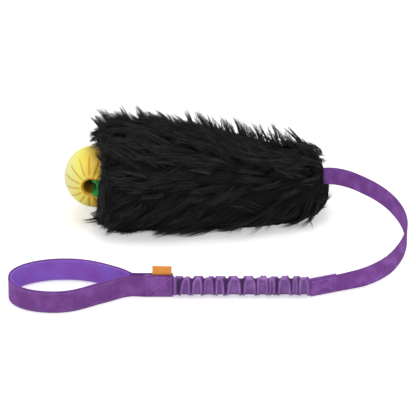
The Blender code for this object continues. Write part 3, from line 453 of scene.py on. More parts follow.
purple_webbing = polyester_webbing("purple_polyester_webbing", "5C2C74", "9552B2", "AC6ECC", LEASH_WIDTH / 2)
handle_weave = polyester_webbing("purple_handle_webbing", "54296C", "8D4EA8", "A262C0", HANDLE_WIDTH / 2)
gathered_weave = polyester_webbing("purple_gathered_webbing", "7A4A98", "B47ED0", "CC9CE6", 1.0)
green_webbing = polyester_webbing("green_polyester_webbing", "0E6A28", "22A83F", "3CD060", STRAP_WIDTH / 2)
lining_knit = brushed_knit("violet_brushed_knit", "9A58BC", "A07CEC")
ball_rubber = moulded_rubber("yellow_moulded_rubber")
black_fibre = pile_fibre("black_acrylic_pile", "050505", "101011", "58585C")
black_knit = knitted_backing("black_knitted_backing", "0D0D0F", "1C1C20")
underfur = combed_underfur("black_combed_underfur", "030304", "111214")
fleece = knitted_backing("undyed_core_fleece", "C4C2BA", "E6E4DC", scale=300.0, sheen=0.3)
braided_elastic = knitted_backing("black_braided_elastic", "101012", "2A2A2E", scale=700.0)
orange_ribbon = satin_ribbon("orange_satin_ribbon")
violet_thread = spun_thread("violet_polyester_thread", "8450AC", "C49CE8")

# Camera
camera = in_scene("camera", bpy.data.cameras.new("camera"))
to_viewer = Vector((0, -math.cos(VIEW_ELEVATION), math.sin(VIEW_ELEVATION)))
camera.location = VIEW_CENTRE + to_viewer * VIEW_DISTANCE
camera.rotation_euler = (math.pi / 2 - VIEW_ELEVATION, 0, 0)
camera.data.lens = camera.data.sensor_width * VIEW_DISTANCE / VIEW_WIDTH
camera.data.clip_end = 20
bpy.context.scene.camera = camera

# Leash: the middle of the webbing, from inside the sleeve's end to the front block, and its
# lean in degrees. It stands on its edge and shows from end to end in the photograph.
LEASH_ROUTE = [
    (0.1520, 0.0685, 0.0470, 0),
    (*LEASH_PIVOT, 0),
    (0.1690, 0.0673, 0.0473, -1),
    (0.1830, 0.0624, 0.0465, -2),
    (0.1960, 0.0551, 0.0446, -3),
    (0.2105, 0.0450, 0.0418, -4),
    (0.2232, 0.0328, 0.0383, -5),
    (0.2325, 0.0190, 0.0346, -6),
    (0.2385, 0.0040, 0.0310, -5),
    (0.2407, -0.0120, 0.0270, -2),
    (0.2385, -0.0280, 0.0232, 3),
    (0.2322, -0.0434, 0.0192, 8),
    (0.2220, -0.0585, 0.0156, 12),
    (0.2090, -0.0694, 0.0128, 13),
    (0.1940, -0.0781, 0.0111, 10),
    (0.1805, -0.0832, 0.0105, 4),
]
BLOCK_TURN = math.radians(20)
BLOCK_WAY = np.array((math.cos(BLOCK_TURN), math.sin(BLOCK_TURN), 0))
BLOCK_SIDE = np.array((-BLOCK_WAY[1], BLOCK_WAY[0], 0))
TAIL_CORE = 2.6 * MM
FRONT_TURN = np.array((BUNGEE_LENGTH, BUNGEE_Y, 0))


def front_tail_place(share, sideways=0.0, height=LEASH_WIDTH / 2):
    """A place on the front block, from the bungee's end (0) to the leash (1)."""
    start = FRONT_TURN + BLOCK_WAY * (FIT + math.tan(BLOCK_TURN) * TAIL_CORE / 2)
    return start + BLOCK_WAY * TAIL_LENGTH * share + BLOCK_SIDE * sideways + np.array((0, 0, height))


def make_leash():
    """The free webbing and its sewn tail, made as one strap and parted at the block."""
    layer = -((TAIL_CORE + LEASH_THICKNESS) / 2 + FIT)
    tail = [(*front_tail_place(share, layer), 0) for share in (1.0, 0.75, 0.5, 0.25, 0.0)]
    rows = even_line(smooth_line(LEASH_ROUTE + tail, 12), RIB_PITCH / 6)
    places = rows[:, :3]
    ways = unit(np.gradient(places, axis=0))
    left = unit(np.cross((0, 0, 1), ways))
    lean = np.radians(rows[:, 3])[:, None]
    outs = left * np.cos(lean) + np.cross(ways, left) * np.sin(lean)
    rings, uv = strap_rings(places, outs, LEASH_WIDTH, LEASH_THICKNESS)
    cut = int(np.argmin(np.linalg.norm(places - front_tail_place(1.0, layer), axis=1)))
    leash = skin("leash_webbing", rings[: cut + 1], purple_webbing, uv=uv[: cut + 1])
    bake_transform(leash)
    stands_for(leash, "leash", slot="purple_webbing")
    tail = skin("leash_sewn_tail", rings[cut:], purple_webbing, uv=uv[cut:])
    dressed(tail, "leash", "leash_tail", slot="purple_webbing")


make_leash()

# Bungee: each fold of the gathered sleeve stands up as an arch. From the front: its left leg
# at the bottom, middle and top, its right leg at the top, middle and bottom, in millimetres
# from the rear block, and how proud it is.
ARCHES = [
    (0.4, 0.4, 0.6, 2.0, 2.4, 2.6, 0.85),
    (6.0, 9.0, 12.5, 15.0, 16.3, 16.8, 1.0),
    (19.2, 20.5, 24.0, 27.0, 28.6, 29.3, 1.05),
    (31.2, 32.0, 34.2, 37.6, 40.2, 41.0, 0.8),
    (44.0, 44.3, 45.5, 48.5, 50.6, 52.3, 1.1),
    (54.8, 56.5, 60.5, 65.0, 67.6, 68.6, 1.0),
    (72.0, 73.0, 75.5, 80.0, 83.0, 84.0, 1.0),
    (86.5, 86.3, 86.8, 94.6, 95.6, 96.0, 0.95),
    (98.7, 98.5, 98.7, 101.8, 102.8, 103.2, 0.9),
    (107.0, 108.0, 110.5, 115.0, 118.6, 119.6, 1.0),
    (121.8, 122.2, 123.2, 125.0, 125.9, 126.3, 0.75),
    (128.8, 129.0, 130.5, 135.0, 136.9, 137.6, 1.0),
]
# Half sizes of a valley, how far a crest stands over it and how wide its legs are; a flat
# end's middle and half height; a ply and its small wrinkles; the elastic; and the cloth's cut
VALLEY_HEIGHT, VALLEY_DEPTH = 8.3 * MM, 3.0 * MM
CREASE_RISE, CREASE_SWELL, LEG_SPREAD = 2.2 * MM, 4.2 * MM, 1.4 * MM
BUNGEE_Z = 11.5 * MM
REAR_END, FRONT_END = (12.5 * MM, 11.5 * MM), (10.0 * MM, 9.9 * MM)
CLOTH_PLY, LEG_FADE = 0.7 * MM, 1 * MM
WRINKLE, WRINKLE_ALONG, WRINKLE_DRIFT = 0.22 * MM, 0.9 * MM, 4 * MM
ELASTIC_WIDTH, ELASTIC_THICKNESS, ELASTIC_ENDS = 12.4 * MM, 4.2 * MM, (1.6, 136.9)
CUT_ROUND, CUT_LENGTH = 50 * MM, 290 * MM
GATHER_STEP = 0.45 * MM
GATHER_ROUND = 60


def folded(s, level, arches):
    """How far up a fold each place is, from 0 to 1 on a crest, and whether an arch holds it."""
    found = np.zeros(np.broadcast(s, level).shape)
    held = np.zeros(found.shape)
    bow = (level + level**3) / 2
    for row in arches:
        proud, lines = row[6], []
        for low, middle, high in (row[:3], row[5:2:-1]):
            lines.append((middle + (high - low) / 2 * bow + ((low + high) / 2 - middle) * bow**2) * MM)
        legs = [np.exp(-(np.abs(s - line) / LEG_SPREAD) ** 2) for line in lines]
        between = np.clip((s - lines[0]) / LEG_FADE, 0, 1) * np.clip((lines[1] - s) / LEG_FADE, 0, 1)
        crown = between * np.exp(-(((1 - level) / 0.2) ** 2))
        found = np.maximum(found, proud * np.maximum(crown, np.maximum(*legs)))
        held = np.maximum(held, between)
    return found, held


def gathered_rings(inset):
    """The gathered sleeve's sections, with its two flattened ends, drawn in by `inset`, and the painted shade of its
    folds.
    """
    s = np.arange(-TAIL_LENGTH - FIT, BUNGEE_LENGTH + TAIL_LENGTH + 2 * FIT, GATHER_STEP)[:, None]
    angle = math.tau * (np.arange(GATHER_ROUND) + 0.5)[None] / GATHER_ROUND
    level, front = np.sin(angle), np.cos(angle)
    behind = [(*(BUNGEE_LENGTH / MM + 0.5 - np.array(row[5::-1])), row[6]) for row in ARCHES]
    seen = smoothed(np.clip((front + 0.45) / 0.6, 0, 1))
    (fold, held), (fold_behind, held_behind) = folded(s, level, ARCHES), folded(s, level, behind)
    fold = fold * seen + fold_behind * (1 - seen)
    held = held * seen + held_behind * (1 - seen)
    wrinkle = WRINKLE * np.sin(s / WRINKLE_ALONG + 2.3 * np.sin(3 * angle)) * np.sin(5 * angle + s / WRINKLE_DRIFT)
    loose = smoothed(np.clip(np.minimum(s + 0.5 * MM, BUNGEE_LENGTH + 0.5 * MM - s) / (2.5 * MM), 0, 1))
    end_middle, end_height = (np.where(s < BUNGEE_LENGTH / 2, REAR_END[k], FRONT_END[k]) for k in (0, 1))
    risen = np.where(level > 0, fold, np.maximum(fold, 0.75 * np.clip(-4 * level, 0, 1)))
    height = end_height * (1 - loose) + (VALLEY_HEIGHT + CREASE_RISE * risen) * loose
    depth = TAIL_CORE / 2 * (1 - loose) + (VALLEY_DEPTH + CREASE_SWELL * fold + wrinkle) * loose
    height, depth = height - inset, depth - inset
    squareness = 0.7 - 0.35 * (1 - loose)
    y, z = -powered(front, squareness) * depth, powered(level, squareness) * height
    middle_z = end_middle * (1 - loose) + BUNGEE_Z * loose
    past = np.maximum(0, s - BUNGEE_LENGTH)
    turn = BLOCK_TURN * np.clip(past / (3 * MM), 0, 1)
    x = np.minimum(s, BUNGEE_LENGTH) + past * np.cos(turn) - y * np.sin(turn)
    y = BUNGEE_Y + past * np.sin(turn) + y * np.cos(turn)
    # Painted shade in the folds: darkest between the arches, lighter inside an arch, none on crests and flat ends
    dark = (1 - np.clip(fold, 0, 1)) * loose * (0.95 - 0.6 * held)
    return points_at(x, y, middle_z + z), dark


def make_bungee():
    """The gathered sleeve with its flattened ends, and the elastic inside it."""
    outer, painted_fold_shade = gathered_rings(0)
    rings = np.concatenate([outer, gathered_rings(CLOTH_PLY)[0][::-1]])
    along = np.cumsum(np.linalg.norm(np.diff(outer, axis=0, prepend=outer[:1]), axis=2), axis=0)
    along = np.concatenate([along, along[:, :1]], axis=1)
    across = np.broadcast_to(np.arange(GATHER_ROUND + 1) * CUT_ROUND / GATHER_ROUND, along.shape)
    uv = np.stack([along, across], axis=-1)
    sleeve = skin("gathered_sleeve", rings, gathered_weave, ends="joined", uv=np.concatenate([uv, uv[::-1]]))
    # The sleeve keeps its painted fold shade as an attribute for its material
    hold(sleeve, "painted_fold_shade", np.concatenate([painted_fold_shade, painted_fold_shade[::-1]]))
    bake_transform(sleeve)
    stands_for(sleeve, "bungee_sleeve", "sleeve_tail_front", "sleeve_tail_rear", slot="gathered_cloth")
    line = points_at(np.linspace(*ELASTIC_ENDS, 60) * MM, BUNGEE_Y, BUNGEE_Z)
    band = strap("bungee_elastic_band", line, np.tile((0, -1, 0), (60, 1)), ELASTIC_WIDTH,
                 ELASTIC_THICKNESS, braided_elastic, rise=0)
    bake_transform(band)
    stands_for(band, "bungee_elastic", slot="elastic")


make_bungee()

# Hand loop: corners as (along, across, direction in degrees, reach) shares of its size
LOOP_LENGTH, LOOP_FAR, LOOP_NEAR = 135 * MM, 31.5 * MM, 33.8 * MM
LOOP_ROOT = np.array((-(TAIL_LENGTH + 2 * FIT + HANDLE_THICKNESS + FIT / 2), BUNGEE_Y, 0))
LOOP_CORNERS = [
    (0.000, -0.030, 180, 0.16),
    (0.290, -0.440, 205, 0.13),
    (0.660, -1.000, 180, 0.17),
    (1.000, -0.060, 90, 0.16),
    (0.590, 1.000, 0, 0.19),
    (0.190, 0.470, -28, 0.12),
    (0.000, 0.030, 0, 0.10),
]
TAIL_OFFSET = (TAIL_CORE + HANDLE_THICKNESS) / 2 + FIT
WEB_START, LINING_START = LOOP_ROOT[0] - 9 * MM, LOOP_ROOT[0] - 11 * MM


def loop_line():
    """The hand loop in plan, from its root on the near side round to the far side."""
    corners = []
    for along, across, way, reach in LOOP_CORNERS:
        offset = np.array((-along * LOOP_LENGTH, across * (LOOP_FAR if across > 0 else LOOP_NEAR), 0))
        turn = math.radians(way)
        arm = np.array((math.cos(turn), math.sin(turn), 0)) * reach * LOOP_LENGTH
        corners.append((LOOP_ROOT + offset, arm))
    points = []
    for (a, way_a), (b, way_b) in zip(corners, corners[1:]):
        points += interpolate_bezier(a, a + way_a, b - way_b, b, 13)[:-1]
    return np.array([tuple(p) for p in points] + [tuple(corners[-1][0])])


def on_edge(line, z, inset=0.0):
    """A plan line as places and outward normals of webbing that stands on its edge."""
    line = even_line(line, RIB_PITCH / 4)
    way = unit(np.gradient(line, axis=0))
    outs = np.stack([-way[:, 1], way[:, 0], np.zeros(len(way))], axis=1)
    places = line - outs * inset
    places[:, 2] = z
    return places, outs


def make_hand_loop():
    """One webbing from the block's front, round the hand and back behind the block."""
    line = loop_line()
    line = line[line[:, 0] < WEB_START]
    stops = np.array((-0.3, -8, -16, -24, -TAIL_LENGTH / MM)) * MM
    near = [(x, BUNGEE_Y - TAIL_OFFSET, 0) for x in stops]
    far = [(x, BUNGEE_Y + TAIL_OFFSET, 0) for x in stops[::-1]]
    whole = smooth_line(near + [tuple(p) for p in line] + far, 8)
    places, outs = on_edge(whole, HANDLE_WIDTH / 2)
    loop = strap("hand_loop_webbing", places, -outs, HANDLE_WIDTH, HANDLE_THICKNESS, handle_weave)
    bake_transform(loop)
    stands_for(loop, "handle_webbing", "handle_tail_front", "handle_tail_back", slot="purple_webbing")
    inner = line[line[:, 0] < LINING_START]
    inset = (HANDLE_THICKNESS + LINING_THICKNESS) / 2 - 0.05 * MM
    places, outs = on_edge(smooth_line(inner, 6), HANDLE_WIDTH / 2, inset)
    lining = strap("hand_loop_lining", places, outs, LINING_WIDTH, LINING_THICKNESS, lining_knit, rise=0)
    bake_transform(lining)
    stands_for(lining, "handle_lining", slot="lining_cloth")


make_hand_loop()

# Ball, with its bore along local Z and a fan of grooves round each hole
LIP_RADIUS = BORE_RADIUS + BORE_LIP
LIP_HEIGHT = math.sqrt((BALL_RADIUS - BORE_LIP) ** 2 - LIP_RADIUS**2)
LIP_ANGLE = math.atan2(LIP_RADIUS, LIP_HEIGHT)
GROOVE_HALF_WIDTH, GROOVE_DEPTH = 0.95 * MM, 1.1 * MM
GROOVE_FROM, GROOVE_TO, LOBE_SWELL = math.radians(21), math.radians(66), 0.25 * MM
BALL_AROUND = 270


def strap_plane(tilt):
    """Directions to the front and up across the strap's plane, for its tilt about X."""
    return (np.array((0, -math.cos(tilt), math.sin(tilt))),
            np.array((0, math.sin(tilt), math.cos(tilt))))


def make_ball():
    """A smooth moulded ball, its lips turned into the bore and its grooves pressed in."""
    front, up = strap_plane(BORE_TILT)
    axis = front * math.cos(BORE_TURN) - np.array((1, 0, 0)) * math.sin(BORE_TURN)
    across = np.cross(up, axis)
    polar = np.linspace(LIP_ANGLE, math.pi - LIP_ANGLE, 150)
    outside = np.stack([BALL_RADIUS * np.sin(polar), BALL_RADIUS * np.cos(polar)], axis=1)
    turn = np.linspace(math.pi / 2 - LIP_ANGLE, math.pi, 12)[1:]
    lip = np.stack([LIP_RADIUS + BORE_LIP * np.cos(turn), LIP_HEIGHT + BORE_LIP * np.sin(turn)], axis=1)
    bore = np.stack([np.full(8, BORE_RADIUS), np.linspace(-0.8, 0.8, 8) * LIP_HEIGHT], axis=1)
    profile = np.concatenate([outside, lip * (1, -1), bore, lip[::-1]])
    spin = math.tau * np.arange(BALL_AROUND)[None] / BALL_AROUND
    r, z = profile[:, :1], profile[:, 1:]
    angle = np.arctan2(r, np.abs(z))
    shell = (np.arange(len(profile)) < len(outside))[:, None]
    phase = np.where(z > 0, 0, 0.5)
    lobe = (spin / math.tau * GROOVES + phase + 0.5) % 1 - 0.5
    sideways = np.abs(lobe) * math.tau / GROOVES * r
    taper = np.clip((angle - GROOVE_FROM) / math.radians(6), 0, 1)
    taper = taper * np.clip((GROOVE_TO - angle) / math.radians(9), 0, 1)
    cut = np.exp(-((sideways / GROOVE_HALF_WIDTH) ** 2.6)) * np.sqrt(taper) * shell
    swell = LOBE_SWELL * np.cos(lobe * math.tau) * np.exp(-(((angle - 0.45) / 0.3) ** 2)) * shell
    length = np.hypot(r, z)
    scale = (length - GROOVE_DEPTH * cut - swell) / length
    r, z = r * scale, z * scale
    rings = (BALL_CENTRE + (r * np.cos(spin))[..., None] * across + (r * np.sin(spin))[..., None] * up
             + (z * np.ones_like(spin))[..., None] * axis)
    ball = skin("grooved_ball", rings, ball_rubber, ends="joined")
    # Painted shade for the rubber: a little in the grooves, most deep in the bore
    deep = np.clip((length - BORE_RADIUS) / (2 * BORE_LIP), 0, 1)
    painted_recess_shade = np.where(shell, cut * 0.34, np.clip(1 - deep * 0.4, 0, 1))
    hold(ball, "painted_recess_shade", np.broadcast_to(painted_recess_shade, (len(profile), BALL_AROUND)))
    dressed(ball, "ball", "ball", slot="ball_rubber")


make_ball()

# The ball's strap: through the bore, round both sides and back to its seam in the sleeve
LEG_REACH, SEAM_LENGTH = 75 * MM, 24 * MM
SEAM_OFFSET = LEASH_THICKNESS / 2 + FIT + STRAP_THICKNESS / 2


def strap_half(turn, side):
    """Stations from mid-bore out of one hole to the sewn end: (along, front, angle, curl, level)."""
    stand = FIT + STRAP_THICKNESS / 2
    wrap, bend, inner = BALL_RADIUS + stand, BORE_LIP + stand, BORE_RADIUS - stand

    def placed(lateral, axial, normal, curl):
        c, s = math.cos(turn), math.sin(turn)
        lateral_c, lateral_s = s * side, -c * side
        out_c = math.sin(normal) * c + math.cos(normal) * lateral_c
        out_s = math.sin(normal) * s + math.cos(normal) * lateral_s
        return (axial * c + lateral * lateral_c, axial * s + lateral * lateral_s,
                math.atan2(out_s, out_c), curl, 0)

    stations = [placed(inner, share * LIP_HEIGHT, math.pi, -1 / inner) for share in (0.2, 0.45, 0.7)]
    for psi in np.linspace(0, math.pi / 2 + LIP_ANGLE, 14):
        lateral = LIP_RADIUS - bend * math.cos(psi)
        curl = -math.cos(psi) / lateral
        stations.append(placed(lateral, LIP_HEIGHT + bend * math.sin(psi), math.pi - psi, curl))
    hole_end = turn - side * LIP_ANGLE
    leave = side * math.acos(wrap / math.hypot(LEG_REACH, SEAM_OFFSET)) + math.atan2(side * SEAM_OFFSET, LEG_REACH)
    for angle in np.linspace(hole_end, leave, 24)[1:]:
        stations.append((wrap * math.cos(angle), wrap * math.sin(angle), angle, 1 / wrap, 0))
    for share in (0.2, 0.4, 0.6, 0.8):
        along = wrap * math.cos(leave) * (1 - share) + LEG_REACH * share
        ahead = wrap * math.sin(leave) * (1 - share) + side * SEAM_OFFSET * share
        stations.append((along, ahead, leave, (1 - share) / wrap, share))
    for share in (0.12, 0.5, 1):
        stations.append((LEG_REACH + SEAM_LENGTH * share, side * SEAM_OFFSET, side * math.pi / 2, 0, 1))
    return stations


def make_ball_strap():
    """Green webbing, cupped where it leaves the bore, kept off the ball all the way."""
    turn = math.pi / 2 + BORE_TURN
    rows = []
    for along, ahead, angle, curl, level in (strap_half(turn, 1)[::-1] + strap_half(turn - math.pi, -1)):
        front, _ = strap_plane(BORE_TILT * (1 - level))
        out = np.array((1, 0, 0)) * math.cos(angle) + front * math.sin(angle)
        rows.append((*(BALL_CENTRE + np.array((1, 0, 0)) * along + front * ahead), *out, curl))
    rows = even_line(rows, RIB_PITCH / 4)
    piece = strap("ball_strap_webbing", rows[:, :3], rows[:, 3:6], STRAP_WIDTH, STRAP_THICKNESS,
                  green_webbing, curls=rows[:, 6])
    dressed(piece, "sleeve", "ball_strap", slot="green_webbing")


make_ball_strap()

# Sleeve: the cloth tube's half sizes, and the dense pile's outline round it, as shares of its
# half width and height: station, width, top and underside. The top falls towards the far end
# as it does in the photograph, lower than the CAD solid, and its tufts stand over it.
CLOTH_FRONT, CLOTH_END_WIDE, CLOTH_END_HIGH = 37.5 * MM, 4.4 * MM, 16 * MM
PILE_HALF_WIDTH, PILE_HEIGHT = 59 * MM, 109 * MM
PILE_OUTLINE = np.array([
    (0.000, 0.77, 0.85, 0.085),
    (0.025, 0.93, 0.95, 0.020),
    (0.090, 0.99, 0.975, -0.012),
    (0.200, 1.00, 0.960, -0.012),
    (0.350, 0.965, 0.950, -0.012),
    (0.440, 0.93, 0.920, -0.012),
    (0.500, 0.91, 0.865, -0.012),
    (0.560, 0.88, 0.810, -0.012),
    (0.650, 0.82, 0.780, -0.012),
    (0.770, 0.72, 0.745, -0.012),
    (0.870, 0.61, 0.755, -0.012),
    (0.940, 0.47, 0.740, 0.015),
    (0.980, 0.34, 0.660, 0.035),
    (1.000, 0.22, 0.590, 0.100),
])
PILE_WIDEST, PILE_SQUARENESS = 0.40, 0.54

# Big tufts: rows from the mouth, and how high each stands along it from its tip
TUFT_ROWS, TUFTS_ROUND = 9, 12
TUFT_START, TUFT_REACH, TUFT_LEVEL = 0.025, 0.955, 0.28
TUFT_RISE, TUFT_SWAY = 7.5 * MM, 3.5 * MM
TUFT_HEIGHTS = np.array([(0.04, 1.00), (0.36, 0.62), (0.70, 0.22), (0.96, 0.00)])


def mouth_back(spin):
    """How far the mouth's edge is drawn back from the front, most on its near upper side."""
    return MM * (4.4 * ((1 + np.cos(spin - 2.0)) / 2) ** 2.5 + 0.5 * np.sin(5 * spin) + 0.4 * np.sin(9 * spin + 1))


def cloth_sizes(x):
    """The cloth tube's half width and half height at x."""
    ease = (1 - np.cos(math.pi * np.clip((x - CLOTH_FRONT_X) / (CLOTH_END_X - CLOTH_FRONT_X), 0, 1))) / 2
    return (CLOTH_FRONT + (CLOTH_END_WIDE - CLOTH_FRONT) * ease,
            CLOTH_FRONT + (CLOTH_END_HIGH - CLOTH_FRONT) * ease)


def on_cloth(x, angle, inset=0.0):
    """Places on the cloth tube, or inside it by inset."""
    wide, high = cloth_sizes(x)
    return points_at(x, SLEEVE_Y + (wide - inset) * np.cos(angle), SLEEVE_Z + (high - inset) * np.sin(angle))


def cloth_at(x, angle):
    """Places on the cloth tube and the outward normals there."""
    step, turn = 0.5 * MM, 0.01
    along = on_cloth(x + step, angle) - on_cloth(x - step, angle)
    round_it = on_cloth(x, angle + turn) - on_cloth(x, angle - turn)
    return on_cloth(x, angle), unit(np.cross(round_it, along))


def pile_section(x):
    """The pile's half width, widest level and the reach above and below it, at x."""
    station = (x - PILE_FRONT_X) / (PILE_END_X - PILE_FRONT_X)
    width, top, under = (np.interp(station, PILE_OUTLINE[:, 0], PILE_OUTLINE[:, k]) for k in (1, 2, 3))
    middle = PILE_HEIGHT * (under + (top - under) * PILE_WIDEST)
    return PILE_HALF_WIDTH * width, middle, PILE_HEIGHT * top - middle, middle - PILE_HEIGHT * under


def pile_spin(p):
    """The angle round the pile's own section at each place, and its share of the outline."""
    wide, middle, above, below = pile_section(p[..., 0])
    lift = p[..., 2] - middle
    power = np.where(lift > 0, 1, 1 / PILE_SQUARENESS)
    across, up = (p[..., 1] - SLEEVE_Y) / wide, lift / np.where(lift > 0, above, below)
    c, s = powered(across, power), powered(up, power)
    return np.arctan2(s, c), np.hypot(c, s)


def on_pile(x, spin, lift):
    """Places on the pile's outline, raised by lift."""
    wide, middle, above, below = pile_section(x)
    c, s = np.cos(spin), np.sin(spin)
    power = np.where(s > 0, 1, PILE_SQUARENESS)
    y, z = powered(c, power) * wide, powered(s, power) * np.where(s > 0, above, below)
    grown = 1 + lift / np.hypot(y, z)
    return np.stack([x, SLEEVE_Y + y * grown, middle + z * grown], axis=-1)


def in_pile(p):
    """Whether each place lies inside the dense outline."""
    return (pile_spin(p)[1] < 1) & (p[..., 0] < PILE_END_X) & (p[..., 2] > 0)


def tuft_at(x, spin):
    """The row, number, share along and middle angle of the big tuft that holds each place."""
    station = (x - PILE_FRONT_X) / (PILE_END_X - PILE_FRONT_X)
    along = (station - TUFT_START) / TUFT_REACH * TUFT_ROWS
    row = np.clip(np.floor(along), 0, TUFT_ROWS - 1)
    phase = math.pi * row + 0.8 * np.sin(2.1 * row)
    number = np.round((TUFTS_ROUND * spin + phase) / math.tau)
    return row, number, along - row, (math.tau * number - phase) / TUFTS_ROUND


def tuft_lift(share, off_middle, spin):
    """How far the big tufts' surface stands off the outline."""
    crest = (1 + np.cos(TUFTS_ROUND * off_middle)) / 2
    height = np.interp(share, TUFT_HEIGHTS[:, 0], TUFT_HEIGHTS[:, 1])
    return TUFT_RISE * (height * crest - TUFT_LEVEL) * (1 + np.sin(spin)) / 2


def pile_depth(root, normal):
    """How far the dense outline lies from each root, along its normal."""
    reach = np.arange(0, 46, 0.75) * MM
    inside = in_pile(root[..., None, :] + normal[..., None, :] * reach[:, None])
    return np.maximum(2 * MM, (inside * reach).max(axis=-1))


# The cloth under the pile: the knit's wall, the hem's roll and how far it stands off the ball,
# and how deep in the tube and how far along it the core, the binding and the webbing lie
ROUND_CLOTH = 96
KNIT_WALL = 1 * MM
HEM_ROLL, HEM_WIDE, HEM_STAND, HEM_PLACE = 1.55 * MM, 2.6 * MM, 1.9 * MM, 7.4 * MM
CORE_INSET, CORE_ENDS = 1.4 * MM, (0.0168, 0.1354)
BINDING_INSET, BINDING_START = 1.3 * MM, 0.1360
LOAD_ENDS = (-0.008, 0.15195)


def make_cloth_parts():
    """The backing tube, its rolled hem, the fleece core, the binding and the load webbing."""
    turn = math.tau * np.arange(ROUND_CLOTH)[None] / ROUND_CLOTH
    x = np.linspace(CLOTH_FRONT_X, CLOTH_END_X, 60)[:, None]
    walls = np.concatenate([on_cloth(x, turn), on_cloth(x, turn, KNIT_WALL)[::-1]])
    walls[..., 0] += (mouth_back(turn) + 0.5 * MM) * (1 - eased(walls[..., 0], CLOTH_FRONT_X, -0.058))
    roll = math.tau * np.arange(20)[:, None] / 20
    radius = BALL_RADIUS + HEM_STAND + 0.12 * MM * np.sin(24 * turn) + HEM_ROLL * np.cos(roll)
    hem_x = BALL_CENTRE[0] + HEM_PLACE + HEM_WIDE * np.sin(roll) + mouth_back(turn)
    hem = points_at(hem_x, SLEEVE_Y + radius * np.cos(turn), SLEEVE_Z + radius * np.sin(turn))
    for name, rings, node in (("sleeve_backing", walls, "sleeve_lining"), ("mouth_hem_roll", hem, "mouth_hem")):
        dressed(skin(name, rings, black_knit, ends="joined"), "sleeve", node, slot="backing_cloth")
    x = np.linspace(*CORE_ENDS, 40)[:, None]
    core = skin("sleeve_core_fleece", on_cloth(x, turn, CORE_INSET), fleece)
    dressed(core, "sleeve", "fleece_core", slot="core_fleece")
    x = np.linspace(BINDING_START, CLOTH_END_X, 8)[:, None]
    dressed(skin("sleeve_end_binding", on_cloth(x, turn, BINDING_INSET), black_knit), "sleeve", "end_binding",
            slot="backing_cloth")
    line = even_line([(x, SLEEVE_Y, SLEEVE_Z) for x in LOAD_ENDS], RIB_PITCH / 4)
    load = strap("sleeve_load_webbing", line, np.tile((0, -1, 0), (len(line), 1)), LEASH_WIDTH,
                 LEASH_THICKNESS, purple_webbing)
    dressed(load, "sleeve", "inner_webbing", slot="purple_webbing")


make_cloth_parts()

# Pile: tufts grown as guides in code, each then filled with locks and hairs by nodes
TUFT_SPACING = 7.3 * MM
GUIDE_POINTS = 12
PILE_RUN = 31 * MM
UNDERFUR_DEPTH = 5 * MM

# Tufts that stand over the outline, first those along the top: each one's tip, then its root
# on the cloth, as a place along X in millimetres and an angle in degrees, and its number of
# guides, which also sets how broad it is at its root.
LEADING_TUFTS = [
    (-82, 102, 105, -64, 62, 12),
    (-86, 98, 99, -70, 58, 6),
    (-89, 70, 86, -74, 88, 4),
    (-63, 103, 107, -47, 62, 13),
    (-57, 106, 113, -44, 66, 4),
    (-42, 105, 110, -22, 58, 10),
    (-31, 104, 107, -12, 62, 8),
    (-22, 103, 107, -4, 60, 9),
    (-4, 101, 104, 14, 62, 8),
    (9, 104, 108, 23, 62, 4),
    (20, 103, 107, 38, 60, 10),
    (32, 100, 100, 50, 62, 3),
    (48, 101, 102, 61, 60, 3),
    (61, 101, 102, 75, 62, 4),
    (82, 98, 98, 95, 62, 3),
    (101, 92, 88, 114, 64, 2),
    (112, 95, 94, 143, 60, 3),
    (118, 95, 92, 144, 66, 3),
    (-88, 51, 12, -74, 236, 4),
    (-96, 48, 3, -75, 244, 2),
    (-82, 40, 4, -70, 236, 4),
    (-72, 24, 3, -60, 222, 5),
    (-48, 21, 3, -38, 216, 6),
    (-22, 22, 3, -10, 214, 6),
    (8, 23, 3, 18, 214, 6),
    (36, 24, 3, 46, 214, 5),
    (64, 26, 3, 76, 214, 5),
    (96, 29, 3, 106, 216, 4),
    (-88, 98, 14, -72, 310, 5),
    (-84, 124, 40, -70, 350, 6),
    (-86, 118, 70, -70, 20, 6),
    (-76, 26, 44, -72, 160, 4),
    (-80, 28, 30, -73, 172, 5),
    (-83, 36, 18, -74, 200, 5),
    (-74, 27, 62, -71, 140, 4),
    (145, 33, 3, 136, 232, 2),
    (160, 84, 56, 143, 20, 7),
    (163, 82, 38, 143, 345, 8),
    (165, 76, 30, 143, 315, 9),
    (165, 66, 27, 143, 270, 8),
    (160, 66, 14, 143, 265, 6),
    (157, 76, 66, 143, 75, 5),
    (156, 60, 68, 143, 105, 4),
    (162, 56, 28, 143, 235, 7),
    (154, 48, 58, 143, 150, 4),
]
TOP_TUFTS = 18

# How broad each guide's tuft is all over, round the mouth and along the top, and how many
# guides there are; how far back the fringe starts; and how far hair bends out on its way
TUFT_BREADTH, FRINGE_BREADTH, RIDGE_BREADTH = 4.4 * MM, 3.2 * MM, 3.5 * MM
FRINGE_GUIDES, RIDGE_GUIDES, STRAY_AT_MOUTH, STRAY_ALONG = 86, 170, 60, 90
FRINGE_DEPTH, BEND_OUT = 15 * MM, 3 * MM
LIE_RADIUS = 50 * MM  # at which an angle round the pile counts as a distance


def tuft_roots(rng):
    """Evenly spread roots over the cloth tube: place along X and angle round it."""
    found = []
    for x in np.arange(CLOTH_FRONT_X + 4 * MM, CLOTH_END_X + 4 * MM, TUFT_SPACING * 0.87):
        wide, high = cloth_sizes(x)
        count = max(14, round(math.tau * math.sqrt((wide**2 + high**2) / 2) / TUFT_SPACING))
        spin = (np.arange(count) + rng.random() + rng.uniform(-0.35, 0.35, count)) * math.tau / count
        spin = spin[(np.sin(spin) > -0.8) | (rng.random(count) > 0.5)]
        shift = x + rng.uniform(-0.4, 0.4, len(spin)) * TUFT_SPACING
        found += list(zip(np.clip(shift, CLOTH_FRONT_X + 3 * MM, CLOTH_END_X), spin % math.tau))
    return np.array(found)


